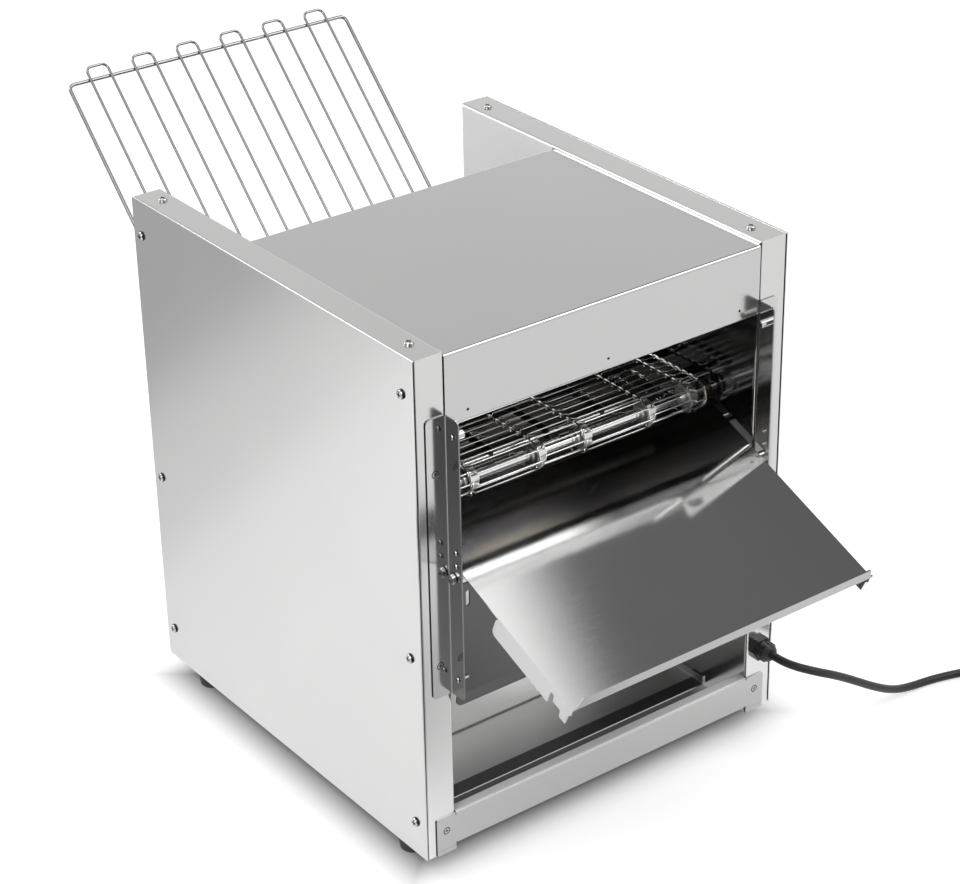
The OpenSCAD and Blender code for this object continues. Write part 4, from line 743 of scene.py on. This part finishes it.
coil = coil_turns(ENTRY, TURNS * 360 + ENTRY - TURN_STEP)
tail = [(PLUG_X, COIL_AT[1], HIGH_TURN), (PLUG_X, -0.156, -0.0065), (PLUG_X, -0.167, PLUG_Z),
        (PLUG_X, -0.180, PLUG_Z), (PLUG_X, RELIEF_END, PLUG_Z)]
cord_line = [Vector(p) - MID for p in ROUTE + coil + tail]


def smooth_line(points, parts=4):
    """Catmull-Rom line through the points."""
    line = []
    for k in range(len(points) - 1):
        a, b = points[max(k - 1, 0)], points[k]
        c, d = points[k + 1], points[min(k + 2, len(points) - 1)]
        for i in range(parts):
            t = i / parts
            line.append(0.5 * ((2 * b) + (c - a) * t + (2 * a - 5 * b + 4 * c - d) * t * t
                               + (3 * b - a - 3 * c + d) * t ** 3))
    return line + [points[-1]]


cord_points = [Vector((p.x, p.y, max(p.z, CORD / 2))) for p in smooth_line(cord_line)]
cord = wire_curve("mains_cord", cord_points, CORD, 14)
black_plastic("cord_sheath", 400, (0.016, 0.016, 0.017), (0.032, 0.032, 0.033), 0.38,
              depth=0.00008, Specular_IOR_Level=0.4).coat("mains_cord")
fitted(cord, "casing", "cord_rubber", "power_cord", "cord_coil")

plug = Finish("moulded_plug")
stipple = plug.noise(900, 3.0)
pins = plug.along("Y") < PLUG_FACE - MID.y
ribs = plug.node("ShaderNodeTexWave", {"bands_direction": "Y"},
                 {"Vector": plug.place, "Scale": 60.0})
plug.feed(
    Base_Color=plug.blend(pins, (0.02, 0.02, 0.021), (0.72, 0.70, 0.66)),
    Metallic=pins,
    Roughness=stipple * 0.15 + 0.42 - pins * 0.22)
plug.relief(stipple + ribs * 2.0 * (1 - pins), 0.0003, 0.35)
plug.coat("mains_plug")

# A strap with rounded corners, closed round both layers of the coil
TIE_AT, TIE_WIDE, TIE_THICK, TIE_CORNER = math.radians(45), 0.010, 0.0008, 0.0045
bundle = OUTER - INNER + CORD + 2 * TIE_THICK
set_aside()
bpy.ops.mesh.primitive_cube_add(size=1, scale=(bundle, TIE_WIDE, 2 * CORD + TIE_THICK))
bpy.ops.object.transform_apply(location=False, rotation=False, scale=True)
tie = bpy.context.object
bpy.ops.object.mode_set(mode="EDIT")
bpy.ops.mesh.select_mode(type="FACE")
bpy.ops.mesh.select_all(action="DESELECT")
bpy.ops.object.mode_set(mode="OBJECT")
for face in tie.data.polygons:
    face.select = abs(face.normal.y) > 0.9
bpy.ops.object.mode_set(mode="EDIT")
bpy.ops.mesh.delete(type="ONLY_FACE")
bpy.ops.mesh.select_mode(type="EDGE")
bpy.ops.mesh.select_all(action="DESELECT")
bpy.ops.object.mode_set(mode="OBJECT")
for edge in tie.data.edges:
    a, b = (tie.data.vertices[v].co for v in edge.vertices)
    edge.select = abs(a.y - b.y) > 0.5 * TIE_WIDE
bpy.ops.object.mode_set(mode="EDIT")
bpy.ops.mesh.bevel(offset=TIE_CORNER, segments=5, affect="EDGES")
bpy.ops.object.mode_set(mode="OBJECT")
strap = tie.modifiers.new("strap", "SOLIDIFY")
strap.thickness, strap.offset = TIE_THICK, -1
bpy.ops.object.modifier_apply(modifier="strap")
tie.rotation_euler.z = TIE_AT
tie.location = Vector((COIL_AT[0] + (OUTER + INNER) / 2 * math.cos(TIE_AT),
                       COIL_AT[1] + (OUTER + INNER) / 2 * math.sin(TIE_AT), 0)) - MID
tie.location.z = CORD + TIE_THICK / 2
tie = joined("coil_tie", [tie])
bpy.ops.object.shade_smooth_by_angle(angle=math.radians(40))
webbing = Finish("hook_and_loop_tie")
weave = webbing.node("ShaderNodeTexVoronoi", {"distance": "MANHATTAN"},
                     {"Vector": webbing.place, "Scale": 1400.0})
webbing.feed(Base_Color=webbing.blend(weave, (0.016, 0.016, 0.017), (0.045, 0.045, 0.047)),
             Roughness=weave * 0.2 + 0.7)
webbing.relief(weave, 0.0003, 0.6)
webbing.coat("coil_tie")
fitted(tie, "casing", "cord_rubber")

# ---------------------------------------------------------------- controls
# Thermoset knobs with a white pointer line, a rocker switch and an amber lamp on the right
# panel, each knob with a printed scale. The safety thermostat behind it is a plated can.

# The panel's face, the column of controls on it, and heights above the surface
PANEL_FACE, CONTROL_Y, KNOB_Z, KNOB_GAP, SWITCH_Z = 0.2230, 0.139034, 0.114, 0.052, 0.274
# The pointer's groove, and the rocker's stroke and ring, from the rocker's middle
POINTER_X, POINTER_WIDE, POINTER_LONG = (0.2387, 0.2393), 0.0016, 0.015
STROKE_WIDE, STROKE_Z = 0.001, (0.0055, 0.0105)
RING_Z, RING_INNER, RING_OUTER = -0.008, 0.0019, 0.0028


def pointer_line(plastic):
    """The line on each knob's top, from its middle upwards, the same at every knob."""
    beside = plastic.along("Y") - CONTROL_Y
    up = (plastic.along("Z") + (KNOB_GAP - KNOB_Z)) % KNOB_GAP
    return (plastic.along("X").between(*POINTER_X)
            * (beside * beside < (POINTER_WIDE / 2) ** 2) * (up < POINTER_LONG))


def on_and_off(plastic):
    """The stroke and the ring on the rocker."""
    beside, up = plastic.along("Y") - CONTROL_Y, plastic.along("Z") - SWITCH_Z
    stroke = (beside * beside < (STROKE_WIDE / 2) ** 2) * up.between(*STROKE_Z)
    from_ring = beside * beside + (up - RING_Z) * (up - RING_Z)
    return stroke + from_ring.between(RING_INNER ** 2, RING_OUTER ** 2)


black_plastic("knob_thermoset", 700, (0.012, 0.012, 0.013), (0.028, 0.028, 0.028), 0.28,
              pointer_line, Coat_Roughness=0.25, Coat_Weight=0.3).coat(
    "upper_heat_knob", "lower_heat_knob", "speed_knob")
black_plastic("rocker_thermoset", 700, (0.014, 0.014, 0.015), (0.028, 0.028, 0.028), 0.30,
              on_and_off).coat("switch_rocker")
black_plastic("bezel_nylon", 900, (0.016, 0.016, 0.017), (0.03, 0.03, 0.03),
              0.38).coat("switch_housing")

# Numerals of a scale, degrees between them, and how far out ticks and numerals stand
NUMERALS, NUMERAL_TURN, TICK_OUT, NUMERAL_OUT = 10, 30, 0.0203, 0.0232
INK_THICK, TICK_WIDE, TICK_LONG, NUMERAL_TALL = 0.0001, 0.0004, 0.0016, 0.0036
marks = []
for number in range(NUMERALS):
    turn = math.radians(NUMERAL_TURN * number)
    outward = Vector((0, math.sin(turn), math.cos(turn)))
    centre = Vector((PANEL_FACE, CONTROL_Y, KNOB_Z))
    set_aside()
    bpy.ops.mesh.primitive_cube_add(size=1, location=centre + outward * TICK_OUT,
                                    rotation=(-turn, 0, 0),
                                    scale=(INK_THICK, TICK_WIDE, TICK_LONG))
    marks.append(bpy.context.object)
    bpy.ops.object.text_add(location=centre + outward * NUMERAL_OUT,
                            rotation=(math.radians(90), 0, math.radians(90)))
    numeral = bpy.context.object
    numeral.data.body, numeral.data.size = str(number), NUMERAL_TALL
    numeral.data.align_x, numeral.data.align_y = "CENTER", "CENTER"
    numeral.data.extrude, numeral.data.resolution_u = INK_THICK / 2, 3
    bpy.ops.object.convert(target="MESH")
    marks.append(bpy.context.object)
speed_scale = joined("speed_scale", marks)
ink = Finish("printed_ink")
grains = ink.noise(1500, 2.0)
ink.feed(Base_Color=ink.blend(grains, (0.02, 0.02, 0.022), (0.045, 0.045, 0.046)),
         Roughness=grains * 0.2 + 0.45)
ink.relief(grains, 0.00002, 0.3)
ink.coat("speed_scale")
fitted(speed_scale, "casing", "motor_paint")
for name, higher in (("lower_heat_scale", 1), ("upper_heat_scale", 2)):
    heat_scale = speed_scale.copy()
    heat_scale.name, heat_scale.data = name, speed_scale.data.copy()
    heat_scale.data.transform(Matrix.Translation((0, 0, higher * KNOB_GAP)))
    bpy.context.scene.collection.objects.link(heat_scale)
    fitted(heat_scale, "casing", "motor_paint")

lens = Finish("amber_lens", Coat_Weight=0.6, Coat_Roughness=0.05)
swirl = lens.noise(300, 2.0)
lens.feed(Base_Color=lens.blend(swirl, (0.80, 0.22, 0.03), (0.62, 0.13, 0.015)),
          Roughness=swirl * 0.1 + 0.12)
lens.coat("pilot_lamp")

plated("thermostat_can", 0.55, 0.25).coat("safety_thermostat")

# ---------------------------------------------------------------- floor, light and camera
# A plain white paper floor with a soft shade painted round the machine's foot, one
# large soft lamp at the left front, weaker ones at the right front and left behind, and a
# pale studio all round. What metal sees of it is darker on the camera's side and overhead.

# The paper's own glow, its share in what metal sees, and its tone
WHITE_GLOW, GLOW_IN_METAL, PAPER_TONE = 0.46, 0.54, 0.78
# Left and right of the machine the shade starts further out and fades more slowly
SHADE_WIDER, SHADE_SLOPE = 0.021, 0.8
# The fade starts this far inside the foot's edge and is 1 / gain metres long
SHADE_START, SHADE_GAIN = 0.045, 13.33
# The level direction from the machine to the camera
TO_LENS = (-0.587, -0.81, 0.0)

set_aside()
bpy.ops.mesh.primitive_plane_add(size=14, location=(0, 0, 0))
floor = bpy.context.object
floor.name = "studio_floor"


def seen_share(recipe, mirrored):
    """1 on a camera ray, and mirrored on a ray that left metal or passed through glass."""
    camera_ray, mirror_ray, glass_ray = (
        recipe.node("ShaderNodeLightPath", {}, {}, f"Is {kind} Ray")
        for kind in ("Camera", "Glossy", "Transmission"))
    return camera_ray + (mirror_ray + glass_ray) * mirrored


paper = bpy.data.materials.new("floor_paper")
paper.use_nodes = True
paper.node_tree.nodes.clear()
sweep = Recipe(paper.node_tree)
spot = sweep.node("ShaderNodeTexCoord", {}, {}, "Object")
aside, behind = (sweep.node("ShaderNodeSeparateXYZ", {}, {0: spot}, axis) for axis in "XY")
mirror_ray = sweep.node("ShaderNodeLightPath", {}, {}, "Is Glossy Ray")
near_foot, far_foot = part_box("left_side_panel")[0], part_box("right_side_panel")[1]


def past(reading, low, high):
    """How far a place is outside the stretch from low to high, below 0 inside it."""
    return abs(reading - (low + high) / 2) - (high - low) / 2


past_x = past(aside, near_foot[0] - SHADE_WIDER, far_foot[0] + SHADE_WIDER) * SHADE_SLOPE
past_y = past(behind, near_foot[1], far_foot[1])
only_x, only_y = past_x.at_least(0.0), past_y.at_least(0.0)
from_foot = (only_x * only_x + only_y * only_y) ** 0.5
inside = past_x.at_least(past_y).at_most(0.0)
# Painted shade on the paper round the machine's foot
under = sweep.ramp((from_foot + inside + SHADE_START) * SHADE_GAIN, (0.0, 0.08), (0.2, 0.18),
                   (0.28, 0.33), (0.4, 0.5), (0.56, 0.71), (0.72, 0.87), (0.88, 0.96),
                   (1.0, 1.0))
shade = under.at_least(mirror_ray)
matt_paper = sweep.node("ShaderNodeBsdfDiffuse", {}, {
    "Color": sweep.blend(shade, (0.0, 0.0, 0.0), (PAPER_TONE, PAPER_TONE, PAPER_TONE))})
glow = sweep.node("ShaderNodeEmission", {}, {
    "Strength": shade * seen_share(sweep, GLOW_IN_METAL) * WHITE_GLOW})
lit_paper = sweep.node("ShaderNodeAddShader", {}, {0: matt_paper, 1: glow})
away = sweep.node("ShaderNodeVectorMath", {"operation": "LENGTH"}, {0: spot}, "Value")
to_lens = sweep.node("ShaderNodeVectorMath", {"operation": "DOT_PRODUCT"}, {
    0: sweep.node("ShaderNodeVectorMath", {"operation": "NORMALIZE"}, {0: spot}),
    1: TO_LENS}, "Value")
falling_off = sweep.ramp(behind + aside * 0.5, (0.0, 0), (0.22, 0.08), (0.32, 0.28),
                         (0.48, 0.36), (0.63, 0.62))
floor_before_lens = (sweep.ramp(to_lens, (0.72, 0), (0.92, 0.9))
                     * sweep.ramp(away * 0.5, (0.19, 0), (0.29, 0.75), (0.6, 1)))
dim_paper = sweep.node("ShaderNodeBsdfDiffuse", {}, {"Color": (0.06, 0.06, 0.06, 1)})
sweep.node("ShaderNodeOutputMaterial", {}, {"Surface": sweep.node("ShaderNodeMixShader", {}, {
    0: floor_before_lens.at_least(falling_off) * mirror_ray, 1: lit_paper, 2: dim_paper})})
floor.data.materials.append(paper)

world = bpy.data.worlds.new("studio")
bpy.context.scene.world = world
world.use_nodes = True
world.node_tree.nodes.clear()
studio = Recipe(world.node_tree)
across, back, rise = (studio.node("ShaderNodeSeparateXYZ", {}, {0: studio.node(
    "ShaderNodeTexCoord", {}, {}, "Generated")}, axis) for axis in "XYZ")
walls = studio.ramp(rise, (0.0, 1), (0.30, 0.96), (0.5, 0.74), (0.68, 0.80), (0.80, 1.2))
lens_side = studio.ramp(across * TO_LENS[0] + back * TO_LENS[1], (0.45, 0), (0.80, 0.8))
ceiling = (studio.ramp(rise, (0.60, 0), (0.70, 1))
           * studio.ramp(across, (0.512, 0), (0.535, 0.92)))
in_metal = studio.blend(lens_side.at_least(ceiling), walls, (0.05, 0.05, 0.05))
camera_ray = studio.node("ShaderNodeLightPath", {}, {}, "Is Camera Ray")
backdrop = studio.node("ShaderNodeBackground", {}, {
    "Color": studio.blend(camera_ray, in_metal, (1, 1, 1))})
room = studio.node("ShaderNodeBackground", {}, {"Color": (0.72, 0.72, 0.72, 1)})
studio.node("ShaderNodeOutputWorld", {}, {"Surface": studio.node(
    "ShaderNodeMixShader", {}, {0: seen_share(studio, 1.0), 1: room, 2: backdrop})})


def soft_lamp(name, at, size, power):
    """A square soft lamp that faces the middle of the machine."""
    set_aside()
    bpy.ops.object.light_add(type="AREA", location=at)
    lamp = bpy.context.object
    lamp.name = name
    lamp.data.size, lamp.data.energy = size, power
    aim = Vector((0, 0, 0.25)) - Vector(at)
    lamp.rotation_euler = aim.to_track_quat("-Z", "Y").to_euler()


soft_lamp("key_lamp", (-2.4, -1.6, 2.6), size=2.0, power=40)
soft_lamp("side_lamp", (1.4, -1.5, 2.4), size=1.2, power=18)
soft_lamp("rim_lamp", (-1.5, 1.9, 2.0), size=1.2, power=18)

bpy.ops.object.camera_add(location=(-1.4422, -1.99137, 1.6193),
                          rotation=(1.08028, 0.01673, -0.64655))
camera = bpy.context.object
camera.data.lens, camera.data.sensor_width = 98.13, 36
bpy.context.scene.camera = camera
bpy.context.scene.view_settings.view_transform = "Standard"
